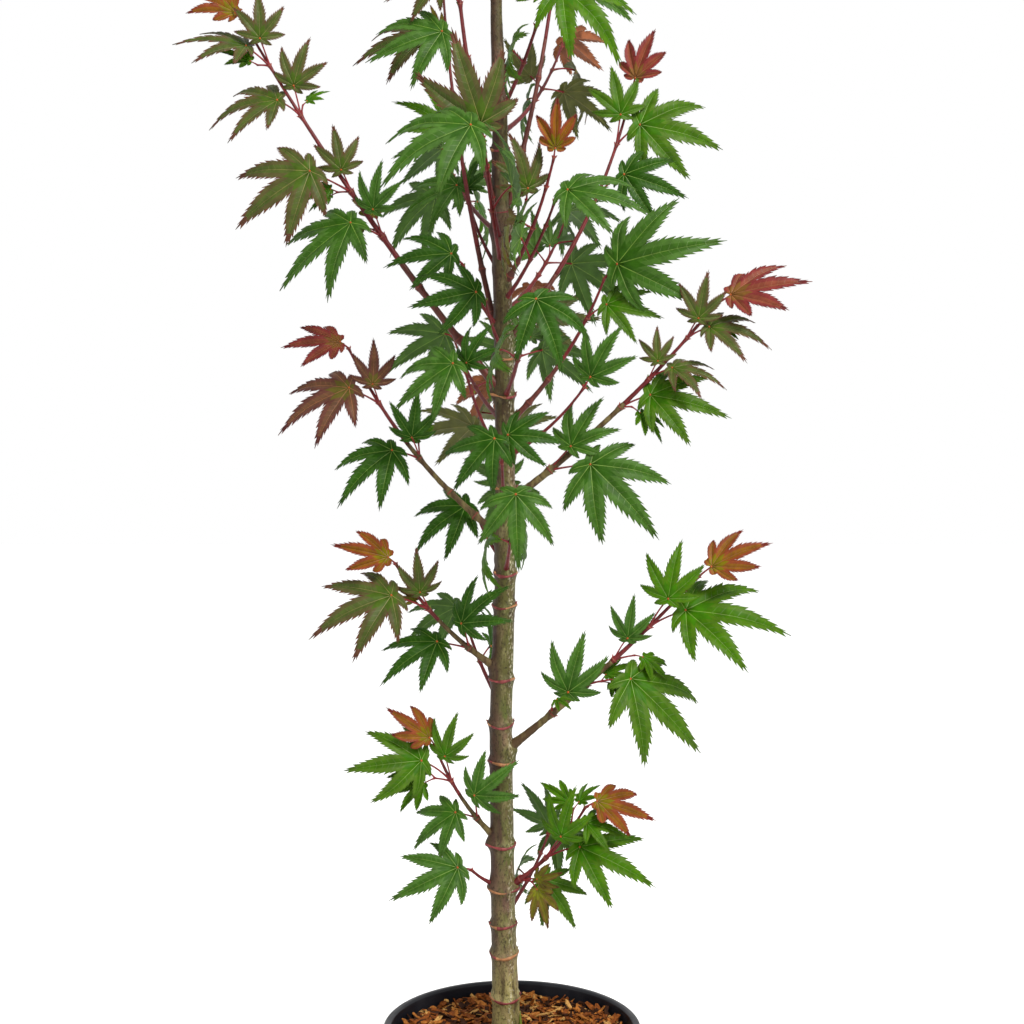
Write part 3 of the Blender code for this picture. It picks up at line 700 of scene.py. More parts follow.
class Heap:
    """Corners, faces and finishes of the small meshes that are joined into one piece."""

    def __init__(self):
        self.corners = []
        self.faces = []
        self.zones = []
        self.nodes = set()

    def add(self, corners, faces, zone=0, node=None):
        start = len(self.corners)
        self.corners += [tuple(corner) for corner in corners]
        self.faces += [tuple(start + corner for corner in face) for face in faces]
        self.zones += list(zone) if hasattr(zone, "__len__") else [zone] * len(faces)
        if node:
            self.nodes.add(node)

    def piece(self, name, finishes, slot, smooth=True):
        """The joined piece, riding on the plant and standing for the solids that it was grown from."""
        data = mesh_data(name, self.corners, [], self.faces, finishes)
        data.polygons.foreach_set("material_index", np.array(self.zones, dtype=np.int32))
        data.polygons.foreach_set("use_smooth", np.full(len(self.faces), smooth))
        data.update()
        return dress(show(name, data), self.nodes)


def dress(piece, nodes=()):
    """Hangs a piece on the plant's one body and hides the solids that it stands for."""
    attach(piece, BODY)
    if nodes:
        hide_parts(*sorted(nodes))
    return piece


# Finishes

# The studio lifts colours, so a finish holds this share of the light that the picture shows
LIGHT_SHARE = 0.60


def screen(colour):
    """A colour as it looks under the studio's light, 0 to 255, as the linear colour of a shader."""
    shares = [part / 255 for part in colour]
    linear = [part / 12.92 if part <= 0.04045 else ((part + 0.055) / 1.055) ** 2.4 for part in shares]
    return (*(part * LIGHT_SHARE for part in linear), 1.0)


class Finish:
    """A material on one shader, with plain values on the shader's own sockets."""

    def __init__(self, name, colour, roughness, **plain):
        self.material = bpy.data.materials.new(name)
        self.material.use_nodes = True
        self.tree = self.material.node_tree
        self.shader = self.tree.nodes["Principled BSDF"]
        self.shader.inputs["Base Color"].default_value = colour
        self.shader.inputs["Roughness"].default_value = roughness
        for socket, value in plain.items():
            self.shader.inputs[socket.replace("_", " ")].default_value = value
        self.material.diffuse_color = colour

    def node(self, kind, sockets, output=0, **settings):
        """A node of a type, with its settings and then the values or links of its sockets."""
        made = self.tree.nodes.new("ShaderNode" + kind)
        for name, value in settings.items():
            setattr(made, name, value)
        for key, value in sockets.items():
            if isinstance(value, bpy.types.NodeSocket):
                self.tree.links.new(value, made.inputs[key])
            else:
                made.inputs[key].default_value = value
        return made.outputs[output]

    def feed(self, socket, signal):
        self.tree.links.new(signal, self.shader.inputs[socket])

    def product(self, first, second):
        return self.node("Math", {0: first, 1: second}, operation="MULTIPLY")

    def places(self, height=1.0):
        """The object's own places, with their heights squeezed or stretched."""
        place = self.node("TexCoord", {}, 3)
        return self.node("VectorMath", {0: place, 1: (1.0, 1.0, height)}, operation="MULTIPLY")

    def cloud(self, scale, detail=3.0, height=1.0, roughness=0.5):
        """Soft noise from 0 to 1, with its heights squeezed or stretched."""
        sockets = {"Vector": self.places(height), "Scale": scale, "Detail": detail, "Roughness": roughness}
        return self.node("TexNoise", sockets)

    def span(self, signal, low, high, start=0.0, end=1.0):
        """A signal's range low to high, spread from start to end and held there."""
        sockets = {"Value": signal, "From Min": low, "From Max": high, "To Min": start, "To Max": end}
        return self.node("MapRange", sockets, clamp=True)

    def blend(self, share, first, second):
        """Two colours blended."""
        return self.node("Mix", {0: share, 6: first, 7: second}, 2, data_type="RGBA")

    def patches(self, ground, amount, colour, low, high, *cloud):
        """A colour laid over the ground in the patches where a cloud runs from low to high."""
        share = self.product(self.span(self.cloud(*cloud), low, high), amount)
        return self.blend(share, ground, screen(colour))

    def relief(self, height, depth, strength=1.0):
        """Fine relief, its depth in metres, which completes the finish."""
        self.feed("Normal", self.node("Bump", {"Height": height, "Distance": depth, "Strength": strength}))
        return self.material


def shade(colour, factor):
    return (*(part * factor for part in colour[:3]), 1.0)


def streaked(name, colour, roughness, gloss, cloud, span, shades):
    """A finish of one tint that runs from a darker to a lighter shade through a cloud."""
    tint = screen(colour)
    finish = Finish(name, tint, roughness, Specular_IOR_Level=gloss)
    streak = finish.span(finish.cloud(*cloud), *span)
    finish.feed("Base Color", finish.blend(streak, *(shade(tint, factor) for factor in shades)))
    return finish


def leaf_finish(name, colour, roughness=0.42, gloss=0.06):
    """Leaf flesh: one plain tint, faintly mottled, with the fine grain of its veins."""
    cloud = (90.0, 4.0, 1.0, 0.6)
    finish = streaked(name, colour, roughness, gloss, cloud, (0.36, 0.64), (0.78, 1.16))
    return finish.relief(finish.cloud(1400.0, 2.0), 0.0003, 0.35)


def plain_wood(name, colour, roughness=0.45, light=1.35):
    """Thin young bark with lengthwise lighter streaks."""
    cloud = (260.0, 3.0, 0.18)
    finish = streaked(name, colour, roughness, 0.2, cloud, (0.42, 0.68), (0.82, light))
    return finish.relief(finish.cloud(900.0, 3.0, 0.3), 0.0004, 0.5)


def older_bark():
    """Bark of the lower boughs: olive brown with grey streaks and dark specks."""
    finish = Finish("bough_bark", screen((92, 70, 46)), 0.60, Specular_IOR_Level=0.15)
    streak = finish.span(finish.cloud(170.0, 4.0, 0.22), 0.40, 0.66)
    brown = finish.blend(streak, screen((80, 60, 38)), screen((122, 108, 66)))
    finish.feed("Base Color", finish.patches(brown, 0.6, (62, 40, 32), 0.62, 0.72, 620.0, 2.0))
    return finish.relief(finish.cloud(700.0, 4.0, 0.35), 0.0006, 0.6)


# Moss, brown, light and mauve: amount, colour, start and end of the patch, and its cloud
TRUNK_PATCHES = (
    (0.7, (88, 100, 44), 0.48, 0.62, 42.0, 5.0, 0.35, 0.6),
    (0.8, (62, 44, 30), 0.49, 0.62, 75.0, 6.0, 0.25, 0.65),
    (0.55, (152, 144, 98), 0.52, 0.66, 150.0, 5.0, 0.35, 0.65),
    (0.5, (138, 98, 90), 0.50, 0.64, 38.0, 4.0, 0.4, 0.65),
)


def trunk_bark():
    """Trunk bark: pale at the foot, olive brown above, a painted purplish shade on the left side, patches,
    dark grain, and a pale dotted streak down the front that paints a highlight over the bark's speckle."""
    finish = Finish("trunk_bark", screen((88, 78, 48)), 0.52, Specular_IOR_Level=0.15)
    across, _, height = finish.node("SeparateXYZ", {0: finish.places()}).node.outputs
    pale, olive, upper = (screen(tone) for tone in ((176, 162, 104), (88, 86, 42), (90, 80, 42)))
    ground = finish.blend(finish.span(height, 0.26, 0.40), pale, olive)
    ground = finish.blend(finish.span(height, 0.85, 1.10), ground, upper)
    for row in TRUNK_PATCHES:
        ground = finish.patches(ground, *row)
    # Painted shade: the left side of the trunk is darkened to a purplish brown, weakly at the foot and more
    # strongly above.
    painted_shade_left = finish.span(across, -0.0070, -0.0175)
    painted_shade_left = finish.product(painted_shade_left, finish.span(height, 0.27, 0.40, 0.25, 0.8))
    ground = finish.blend(painted_shade_left, ground, screen((70, 44, 38)))
    dots = finish.span(finish.cloud(560.0, 2.0, 0.5), 0.54, 0.64)
    # Painted highlight: the pale speckle shows only in a band of x right of the trunk's middle, on the side
    # the key light falls on.
    streak = finish.product(finish.span(across, -0.0050, -0.0020), finish.span(across, 0.0030, 0.0005))
    speckle_with_painted_highlight = finish.product(finish.product(dots, streak), 0.6)
    ground = finish.blend(speckle_with_painted_highlight, ground, screen((214, 206, 180)))
    grained = finish.patches(ground, 0.75, (44, 32, 22), 0.52, 0.64, 480.0, 4.0, 0.6, 0.65)
    finish.feed("Base Color", grained)
    finish.feed("Roughness", finish.span(finish.cloud(200.0), 0.3, 0.7, 0.42, 0.62))
    grain = finish.product(finish.cloud(900.0, 4.0, 0.4), 0.7)
    rough = finish.node("Math", {0: grain, 1: finish.product(dots, 0.3)}, operation="ADD")
    return finish.relief(rough, 0.0007, 0.7)


def pot_plastic():
    """Black moulded plastic with a soft sheen, fine grain and faint dust in patches."""
    finish = Finish("pot_plastic", screen((30, 31, 38)), 0.34, Specular_IOR_Level=0.22)
    plain = screen((26, 27, 34))
    dusted = finish.patches(plain, 0.5, (58, 58, 64), 0.50, 0.80, 22.0, 5.0, 0.6, 0.6)
    finish.feed("Base Color", dusted)
    finish.feed("Roughness", finish.span(finish.cloud(60.0, 4.0), 0.35, 0.70, 0.28, 0.46))
    return finish.relief(finish.cloud(1600.0, 2.0), 0.0002, 0.25)


def damp_mix():
    """Dark, damp potting mix under the chips."""
    finish = Finish("potting_mix", screen((46, 28, 18)), 0.92)
    crumbs = finish.span(finish.cloud(320.0, 6.0, roughness=0.7), 0.38, 0.68)
    finish.feed("Base Color", finish.blend(crumbs, screen((26, 15, 9)), screen((92, 56, 34))))
    return finish.relief(finish.cloud(420.0, 6.0, roughness=0.7), 0.0020, 0.9)


def chip_wood(name, colour):
    """Weathered wood chip with lengthwise grain."""
    finish = streaked(name, colour, 0.80, 0.1, (380.0, 5.0, 1.0, 0.65), (0.36, 0.66), (0.45, 1.25))
    return finish.relief(finish.cloud(700.0, 4.0), 0.0007, 0.8)


# Blade

def full_lobes():
    """Angle and length of all seven lobes from right to left."""
    half = LOBES[1:] + (BASE_LOBE,)
    return [(-angle, length) for angle, length in reversed(half)] + [LOBES[0]] + list(half)


class Sheet:
    """One sheet of the flat blade: for each corner its lobe, its place along and across that lobe, how much
    of the pleat and puff it takes, and its lift, then the triangles and their zones."""

    def __init__(self):
        self.rows = []
        self.faces = []
        self.zones = []

    def corner(self, lobe, along, across, wave=0.0, lift=0.0):
        self.rows.append((lobe, along, across, wave, lift))
        return len(self.rows) - 1

    def face(self, corners, side, zone=0):
        """A fan of triangles, turned over on the right side of a lobe so that all face the same way."""
        ring = corners if side > 0 else corners[::-1]
        for second, third in zip(ring[1:], ring[2:]):
            if len({ring[0], second, third}) == 3:
                self.faces.append((ring[0], second, third))
                self.zones.append(zone)


def lobe_edge(lobes, index, side):
    """The bay beside a lobe, as its place along and across the lobe."""
    angle, length = lobes[index]
    beside = index + side
    if 0 <= beside < len(lobes):
        gap = math.radians(abs(lobes[beside][0] - angle)) / 2
        bay = BAY * (length + lobes[beside][1]) / 2
    else:
        gap = math.radians(180.0 - abs(angle))
        bay = LEAF_BACK
    return bay * math.cos(gap), bay * math.sin(gap)


HEART, FLESH, FLANK_AND_SHEEN, TEETH = range(4)


def blade_plan(teeth, belly_share, luck):
    """Sheets of a blade laid flat: upper face, underside, ribs on both faces, and fine veins."""
    lobes = full_lobes()
    upper, under, ribs, veins = (Sheet() for _ in range(4))
    for index, (_, length) in enumerate(lobes):
        count = max(3, round(teeth * min(1.0, length + 0.12)))
        shares = [TAIL_START * k / count for k in range(1, count + 1)] + [(1 + TAIL_START) / 2, 1.0]
        inner = sum(lobe_edge(lobes, index, side)[0] for side in (1, -1)) / 2 * RIB_ROW
        rib = [0.0, inner / 2, inner] + [inner + (length - inner) * share for share in shares]
        lay_rib(ribs, index, rib[:-1], length)
        for side in (1, -1):
            start, belly = lobe_edge(lobes, index, side)
            edge = [(0.0, 0.0), (start / 2, belly / 2), (start, belly)]
            for share in shares:
                width = (1 - share) ** TAPER_OF_LOBE * (belly + belly_share * length * share)
                edge.append((start + (length - start) * share, width))
            lay_half(upper, under, veins, index, side, rib, edge, length, luck)
    return upper, under, ribs, veins


def lay_rib(ribs, index, rib, length):
    """The ridge of a lobe's rib on the upper face, and a flatter one on the underside."""
    rows = []
    for along in rib:
        width = RIB_WIDTH * (1 - 0.85 * along / length) / 2
        left, right = (ribs.corner(index, along, width * side, 0.0, 0.0012) for side in (1, -1))
        ridge = ribs.corner(index, along, 0.0, 0.0, RIB_LIFT)
        low = ribs.corner(index, along, 0.0, 0.0, -BLADE_SHEET - RIB_LIFT * 0.7)
        low_left, low_right = (
            ribs.corner(index, along, 1.3 * width * side, 0.0, -BLADE_SHEET - 0.0006) for side in (1, -1)
        )
        rows.append((left, ridge, right, low_left, low, low_right))
    for near, far in zip(rows, rows[1:]):
        ribs.face((near[1], far[1], far[0], near[0]), 1)
        ribs.face((near[1], far[1], far[2], near[2]), -1)
        ribs.face((near[4], far[4], far[3], near[3]), -1)
        ribs.face((near[4], far[4], far[5], near[5]), 1)


def lay_half(upper, under, veins, index, side, rib, edge, length, luck):
    """One half of a lobe: rows of corners from the rib to the edge, with a tooth between the outer rows."""
    tops = []
    lows = []
    last = len(rib) - 1
    for row, (middle, (along, across)) in enumerate(zip(rib, edge)):
        outer = 2 < row < last
        wave = (1 if row % 2 else -1) * PLEAT if outer else 0.0
        half = ((middle + along) / 2, across / 2 * side)
        corners = ((middle, 0.0, 0.0), (*half, PUFF if row > 1 else PUFF / 2), (along, across * side, wave))
        tops.append([upper.corner(index, u, v, w * length, 0.0) for u, v, w in corners])
        drops = [BLADE_SHEET if 0 < row < last else 0.0] * 2 + [0.0]
        if row <= 2:
            drops = [BLADE_SHEET] * 3
        lows.append([
            under.corner(index, u, v, w * length, -drop) for (u, v, w), drop in zip(corners, drops)
        ])
        if outer and row < last - 1:
            lay_vein(veins, index, side, corners, length)
    for row in range(last):
        near, far = tops[row], tops[row + 1]
        tail = row >= last - 2
        inside = HEART if row < 2 else TEETH if tail else FLESH
        # The flank zone carries painted sheen on green blades and the real margin tint on the others.
        outside = HEART if row < 2 else TEETH if tail else FLANK_AND_SHEEN
        upper.face((near[0], far[0], far[1], near[1]), side, inside)
        upper.face((near[1], far[1], far[2], near[2]), side, outside)
        below, beyond = lows[row], lows[row + 1]
        under.face((beyond[0], beyond[1], below[1], below[0]), -side)
        under.face((beyond[1], beyond[2], below[2], below[1]), -side)
        if 2 <= row < last - 1:
            (u0, _), (u1, v1) = edge[row], edge[row + 1]
            out = TOOTH_OUT * length * luck.uniform(0.6, 1.25) * (1.0 - 0.45 * row / last)
            tip = (index, u1 + TOOTH_ON * (u1 - u0), (v1 + out) * side, -PLEAT * length)
            upper.face((near[2], far[2], upper.corner(*tip)), side, TEETH)
            under.face((below[2], beyond[2], under.corner(*tip, -BLADE_SHEET)), -side)


def lay_vein(veins, index, side, corners, length):
    """A fine vein from the rib towards the edge, thinning to nothing."""
    width = VEIN_WIDTH * length / 2
    (u0, v0, w0), (u1, v1, w1), (u2, v2, w2) = corners
    first = [veins.corner(index, u0 + step, v0, w0 * length, VEIN_LIFT) for step in (-width, width)]
    second = [veins.corner(index, u1 + step * 0.7, v1, w1 * length, VEIN_LIFT) for step in (-width, width)]
    end = (u1 + (u2 - u1) * VEIN_REACH, v1 + (v2 - v1) * VEIN_REACH, w2 * length * VEIN_REACH)
    tip = veins.corner(index, *end, VEIN_LIFT * 0.7)
    veins.face((first[0], first[1], second[1], second[0]), side)
    veins.face((second[0], second[1], tip), side)


class Habit(NamedTuple):
    """How a blade opens: the spread of its lobes, the fold at their ribs, the droop of their tips, and how
    much shorter a lobe is for each degree off the midrib."""

    spread: float
    fold: float
    droop: float
    shrink: float


GROWN = Habit(1.0, 0.28, 0.15, 0.0020)
YOUNG = Habit(0.80, 0.52, 0.05, 0.0052)


def bend_blade(sheets, habit, length, place, luck):
    """The corners of the flat sheets bent into one leaf and set in place."""
    lobes = full_lobes()
    stretch = np.array([luck.uniform(0.96, 1.0) - habit.shrink * abs(angle) * luck.uniform(0.4, 1.0)
                        for angle, _ in lobes])
    sickle = np.array([luck.uniform(-0.06, 0.06) - 0.0009 * angle for angle, _ in lobes])
    droop = np.array([habit.droop * luck.uniform(0.6, 1.5) for _ in lobes])
    fold = habit.fold * luck.uniform(0.7, 1.3)
    angles = np.radians([angle for angle, _ in lobes])
    reaches = np.array([reach for _, reach in lobes])
    turn = np.array(place)
    bent = []
    for sheet in sheets:
        lobe, flat_along, flat_across, wave, lift = np.array(sheet.rows).T
        lobe = lobe.astype(int)
        reach = reaches[lobe]
        free = np.clip(flat_along / reach - STEADY, 0.0, None) / (1.0 - STEADY)
        along = flat_along * (1.0 + (stretch[lobe] - 1.0) * free)
        across = flat_across + sickle[lobe] * reach * free ** 2
        away = np.hypot(along, across)
        angle = (angles[lobe] + np.arctan2(across, along)) * habit.spread
        x = away * np.cos(angle)
        y = away * np.sin(angle)
        z = fold * np.abs(flat_across) + wave + lift
        z -= LEAF_DROOP * away ** 2 + droop[lobe] * reach * free ** 2
        points = np.stack((x, y, z), axis=1) * length
        bent.append(points @ turn[:3, :3].T + turn[:3, 3])
    return bent


def tint_of(shoot, share, side, luck):
    """The tint of a leaf by its shoot and its place on it."""
    level = 0
    if share < 1.0:
        level = 1 + sum(pair > share for pair in shoot.pairs)
    elif side < 0 and not shoot.pairs:
        level = 1
    tints = shoot.tints.split()
    return tints[level] if level < len(tints) else luck.choice(GREENS)


def arched(start, end, sag, steps=7):
    """Points of a gentle arch between two places."""
    middle = start.lerp(end, 0.5) + sag
    return [on_arch(start, middle, end, k / steps) for k in range(steps + 1)]


class Foliage:
    """All leaves, stalks, joints and fine twigs, gathered by kind."""

    def __init__(self):
        luck = random.Random(SEED)
        self.grown_plans, self.young_plans, self.small_plans = (
            [blade_plan(teeth, belly, luck) for _ in range(PLANS)]
            for teeth, belly in ((8, BELLY), (8, YOUNG_BELLY), (5, YOUNG_BELLY))
        )
        self.uppers = {tint: Heap() for tint in TINTS}
        self.unders, self.ribs, self.veins = ({family: Heap() for family in UNDERSIDES} for _ in range(3))
        self.stalks = Heap()
        self.joints = Heap()

    def add_leaf(self, leaf, tint, habit, plans, node, luck):
        plan = luck.choice(plans)
        bent = bend_blade(plan, habit, leaf.length, leaf.place, luck)
        family = FAMILY[tint]
        heaps = (self.uppers[tint], self.unders[family], self.ribs[family], self.veins[family])
        for heap, corners, sheet in zip(heaps, bent, plan):
            heap.add(corners.tolist(), sheet.faces, sheet.zones, node)
        self.add_stalk(leaf, node, luck)

    def add_stalk(self, leaf, node, luck):
        """The arched stalk, thicker at its foot, and the bright joint where it meets the blade."""
        slim = min(1.0, 0.45 + leaf.length / 0.12)
        reach = (leaf.joint - leaf.node).length
        face = Vector(leaf.place.col[2][:3])
        sag = UP * reach * luck.uniform(0.02, 0.14)
        points = arched(leaf.node, leaf.joint - face * 0.0006, sag)
        last = len(points) - 1
        radii = [STALK_RADIUS * slim * (0.78 + 0.75 * (1 - k / last) ** 5 + 0.18 * (k / last) ** 6)
                 for k in range(last + 1)]
        self.stalks.add(*tube_mesh(points, radii, 7), 0, node)
        size = STALK_RADIUS * slim * 1.15
        self.joints.add(*bead(leaf.joint + face * 0.0002, size), 0, node)


def bead(centre, size):
    """A small round bead."""
    corners = [centre + UP * size]
    for height, width in ((0.6, 0.8), (-0.2, 0.98), (-0.8, 0.6)):
        for k in range(6):
            turn = math.pi * k / 3
            corners.append(centre + Vector((math.cos(turn) * width, math.sin(turn) * width, height)) * size)
    corners.append(centre - UP * size)
    faces = [(0, 1 + k, 1 + (k + 1) % 6) for k in range(6)]
    for ring in (1, 7):
        faces += [(ring + k, ring + k + 6, ring + (k + 1) % 6 + 6, ring + (k + 1) % 6) for k in range(6)]
    faces += [(19, 13 + (k + 1) % 6, 13 + k) for k in range(6)]
    return corners, faces


def cone(foot, tip, radius, sides=6):
    """A pointed bud or scale with a full belly."""
    points = [foot.lerp(tip, share) for share in (0.0, 0.25, 0.55, 0.82, 1.0)]
    return tube_mesh(points, [radius * share for share in (0.8, 1.0, 0.82, 0.42, 0.06)], sides)


# Wood

NODE_SWELL = 0.42
NODE_HALF = 0.0035
FOOT_FLARE = 0.65
FOOT_FLARE_LENGTH = 0.009
STATION = 0.0028
RED_FROM = 0.55
BOUGH_SIDES = 12
STEM_SIDES = 9
WOOD_BUMP = 0.10
BUD_RADIUS = 0.0009
SPROUT_HEIGHT = 0.0300


def node_shares(shoot):
    """Where a shoot has nodes: its leaf pairs, the places of its crosswise leaves, its end, and the scars of
    lost pairs on the bare part."""
    bare = [shoot.bare * share for share in (0.42, 0.80)] if shoot.bare > 0.25 else []
    crossed = tuple(share for share, _, _ in cross_leaves(shoot))
    return tuple(bare) + shoot.pairs + crossed + (1.0,)


def wood_radius(shoot, share, length):
    """A shoot's radius with its flared foot and swollen nodes."""
    radius = shoot_radius(shoot, share)
    away = share * length
    if shoot is not LEADER:
        _, trunk_radius = trunk_at(shoot.foot)
        radius *= 1.0 + FOOT_FLARE * math.exp(-max(0.0, away - trunk_radius) / FOOT_FLARE_LENGTH)
    for node in node_shares(shoot):
        gap = (share - node) * length
        radius *= 1.0 + NODE_SWELL * math.exp(-(gap / NODE_HALF) ** 2)
    return radius


def wood_stretch(heap, shoot, start, end, sides, node):
    """A stretch of a shoot's wood with the small bumps of its bark."""
    length = shoot_length(shoot)
    steps = max(4, round((end - start) * length / STATION))
    shares = even_shares(start, end, steps)
    points = [shoot_point(shoot, share)[0] for share in shares]
    radii = [wood_radius(shoot, share, length) for share in shares]
    corners, faces = tube_mesh(points, radii, sides)
    rough = []
    for number, corner in enumerate(corners):
        centre = points[number // sides]
        bump = 1.0 + WOOD_BUMP * noise.noise(corner * 420.0)
        rough.append(centre + (corner - centre) * bump)
    heap.add(rough, faces, 0, node)


def node_trim(rings, buds, shoot, luck, node):
    """The scar ring at each node of a shoot, with a pair of small buds where leaves stand."""
    length = shoot_length(shoot)
    for share in node_shares(shoot):
        point, along = shoot_point(shoot, share)
        radius = wood_radius(shoot, share, length)
        ring = [point + along * step for step in (-0.0009, -0.0004, 0.0004, 0.0009)]
        rings.add(*tube_mesh(ring, [radius * swell for swell in (0.9, 1.07, 1.07, 0.9)], 10), 0, node)
        if share <= shoot.bare:
            continue
        lower = along.cross(light_side(shoot)).normalized()
        for side in (1, -1):
            aside = (lower * side + along * luck.uniform(0.9, 1.6)).normalized()
            size = luck.uniform(0.0014, 0.0028)
            foot = point + lower * side * radius * 0.5
            bud = cone(foot, foot + aside * (radius * 0.6 + size), BUD_RADIUS)
            buds.add(*bud, luck.choice((0, 0, 1)), node)


def smoothed(values, reach):
    """Values softened by a running mean, held at both ends."""
    padded = np.pad(values, reach, mode="edge")
    window = np.ones(2 * reach + 1) / (2 * reach + 1)
    return np.convolve(padded, window, mode="valid")


def bell(gap, half):
    """A bell curve of height 1 over a gap."""
    return np.exp(-(gap / half) ** 2)


def ring_height(collar, turn, number):
    """Height of a trunk ring round the trunk: it sags at the front and back and rises to the buds at the
    sides."""
    lean = 0.0014 * math.sin(2.4 * number)
    sag = RING_SAG * np.cos(2 * (turn - 0.5 * math.pi) + 0.5 * math.sin(number))
    return collar - sag + lean * np.sin(turn)


def trunk_surface(heights, turns):
    """Distance of the bark from the trunk's line: collars, ridges, branch swellings and fine relief."""
    rows = np.array([trunk_at(height)[1] for height in heights])
    radius = smoothed(rows, 5)[:, None] + np.zeros_like(turns)[None, :]
    level = heights[:, None]
    turn = turns[None, :]
    for number, collar in enumerate(COLLARS):
        gap = level - ring_height(collar, turn, number)
        share = np.sqrt(radius / 0.0125)
        bulge = RING_BULGE * bell(gap, RING_BULGE_HALF) + RING_LIP * bell(gap, RING_LIP_HALF)
        radius = radius + share * bulge
        radius = radius - share * RING_LIP * bell(gap - RING_GROOVE_AT, RING_GROOVE_HALF)
    for shoot in SHOOTS:
        point, along = shoot_point(shoot, 0.0)
        aim = math.atan2(along.y, along.x)
        off = np.angle(np.exp(1j * (turn - aim)))
        up = level - shoot.foot - KNOB_ABOVE
        radius = radius + KNOB_RISE * shoot.girth * np.exp(-(off / KNOB_TURN) ** 2 - (up / KNOB_HALF) ** 2)
    return radius


def trunk_relief(heights, turns):
    """Fine relief of the bark: long shallow flutes, fine grain and lenticels, in metres."""
    relief = np.zeros((len(heights), len(turns)))
    for j, turn in enumerate(turns):
        east = math.cos(turn)
        north = math.sin(turn)
        for i, height in enumerate(heights):
            flute = noise.noise(Vector((east * 1.8, north * 1.8, height * 9.0)))
            grain = noise.noise(Vector((east * 9.0, north * 9.0, height * 60.0)))
            relief[i, j] = BARK_FLUTE * flute + BARK_GRAIN * grain
    luck = random.Random(SEED)
    low, high = heights[0], heights[-1]
    for _ in range(LENTICELS):
        centre = luck.uniform(low, high)
        aim = luck.uniform(0.0, math.tau)
        tall = luck.uniform(0.0010, 0.0026)
        near = np.abs(heights - centre) < 3 * tall
        off = np.angle(np.exp(1j * (turns - aim)))
        bump = np.exp(-((heights[near][:, None] - centre) / tall) ** 2 - (off[None, :] / 0.07) ** 2)
        relief[near] += LENTICEL_RISE * bump
    return relief


def make_trunk(finish, ring_finishes):
    """The trunk's skin from the soil to its tip, with its scar rings and bud scales as another piece."""
    heights = np.linspace(TRUNK_LINE[0][0], TRUNK_LINE[-1][0], TRUNK_ROWS)
    turns = np.linspace(0.0, math.tau, TRUNK_SIDES, endpoint=False)
    distance = trunk_surface(heights, turns) + trunk_relief(heights, turns)
    line = np.array([trunk_at(height)[0] for height in heights])
    middle = np.stack([smoothed(line[:, axis], 7) for axis in (0, 1)], axis=1)
    x = middle[:, 0, None] + distance * np.cos(turns)[None, :]
    y = middle[:, 1, None] + distance * np.sin(turns)[None, :]
    z = np.repeat(heights[:, None], TRUNK_SIDES, axis=1)
    corners = np.stack((x, y, z), axis=2).reshape(-1, 3)
    skin = Heap()
    faces = side_faces(TRUNK_ROWS, TRUNK_SIDES)
    top = (TRUNK_ROWS - 1) * TRUNK_SIDES
    faces.append(tuple(range(top, top + TRUNK_SIDES)))
    faces.append(tuple(range(TRUNK_SIDES - 1, -1, -1)))
    skin.add(corners.tolist(), faces, 0, "trunk")
    skin.piece("trunk_bark_skin", [finish], "trunk_bark")
    make_trunk_rings(ring_finishes)


def make_trunk_rings(finishes):
    """The raised scar line round each collar, with pointed bud scales at its sides."""
    rings = Heap()
    luck = random.Random(SEED + 1)
    turns = np.linspace(0.0, math.tau, RING_SECTIONS, endpoint=False)
    for number, collar in enumerate(COLLARS):
        heights = ring_height(collar, turns, number)
        shade_start = luck.uniform(0.0, math.tau)
        sections = []
        for turn, height in zip(turns, heights):
            centre, _ = trunk_at(height)
            distance = trunk_surface(np.array([height]), np.array([turn]))[0, 0]
            east, north = math.cos(turn), math.sin(turn)
            out = Vector((east, north, 0.0))
            spot = centre + out * (distance - 0.0001)
            thick = 0.00095 + 0.00080 * noise.noise(Vector((east * 1.6, north * 1.6, number * 3.0)))
            sections.append((spot, out, max(0.0003, thick)))
        ring_band(rings, sections, shade_start, 0.3 if number < LOW_COLLARS else -0.5)
        for aim in (0.0, math.pi):
            bud_scales(rings, collar, number, aim + luck.uniform(-0.5, 0.5), luck)
    rings.piece("trunk_rings", finishes, "trunk_bark", smooth=True)


def ring_band(rings, sections, shade_start, tan_share):
    """A closed ridge through the sections, crimson over one stretch, tan over the next."""
    count = len(sections)
    corners = []
    for spot, out, thick in sections:
        for k in range(6):
            turn = math.pi * k / 3
            corners.append(spot + (out * math.cos(turn) * 0.62 + UP * math.sin(turn) * 1.30) * thick)
    faces = []
    zones = []
    for i in range(count):
        ahead = (i + 1) % count
        for k in range(6):
            side = (k + 1) % 6
            faces.append((i * 6 + k, ahead * 6 + k, ahead * 6 + side, i * 6 + side))
            zones.append(0 if math.sin(math.tau * i / count * 1.5 + shade_start) > tan_share else 1)
    rings.add(corners, faces, zones)


def bud_scales(rings, collar, number, aim, luck):
    """Two or three small pointed scales where a pair of buds sat."""
    turn = np.array([aim])
    height = float(ring_height(collar, turn, number)[0])
    centre, radius = trunk_at(height)
    swell = radius + 0.0012
    out = Vector((math.cos(aim), math.sin(aim), 0.0))
    for _ in range(luck.choice((1, 2, 3))):
        side = Vector((-out.y, out.x, 0.0)) * luck.uniform(-0.0018, 0.0018)
        foot = centre + out * (swell - 0.0006) + side + UP * luck.uniform(0.0, 0.0012)
        size = luck.uniform(0.0022, 0.0050)
        tip = foot + (out * luck.uniform(0.5, 1.0) + UP * luck.uniform(0.7, 1.3)).normalized() * size
        rings.add(*cone(foot, tip, luck.uniform(0.0009, 0.0014)), luck.choice((0, 0, 1, 2)))


# Pot

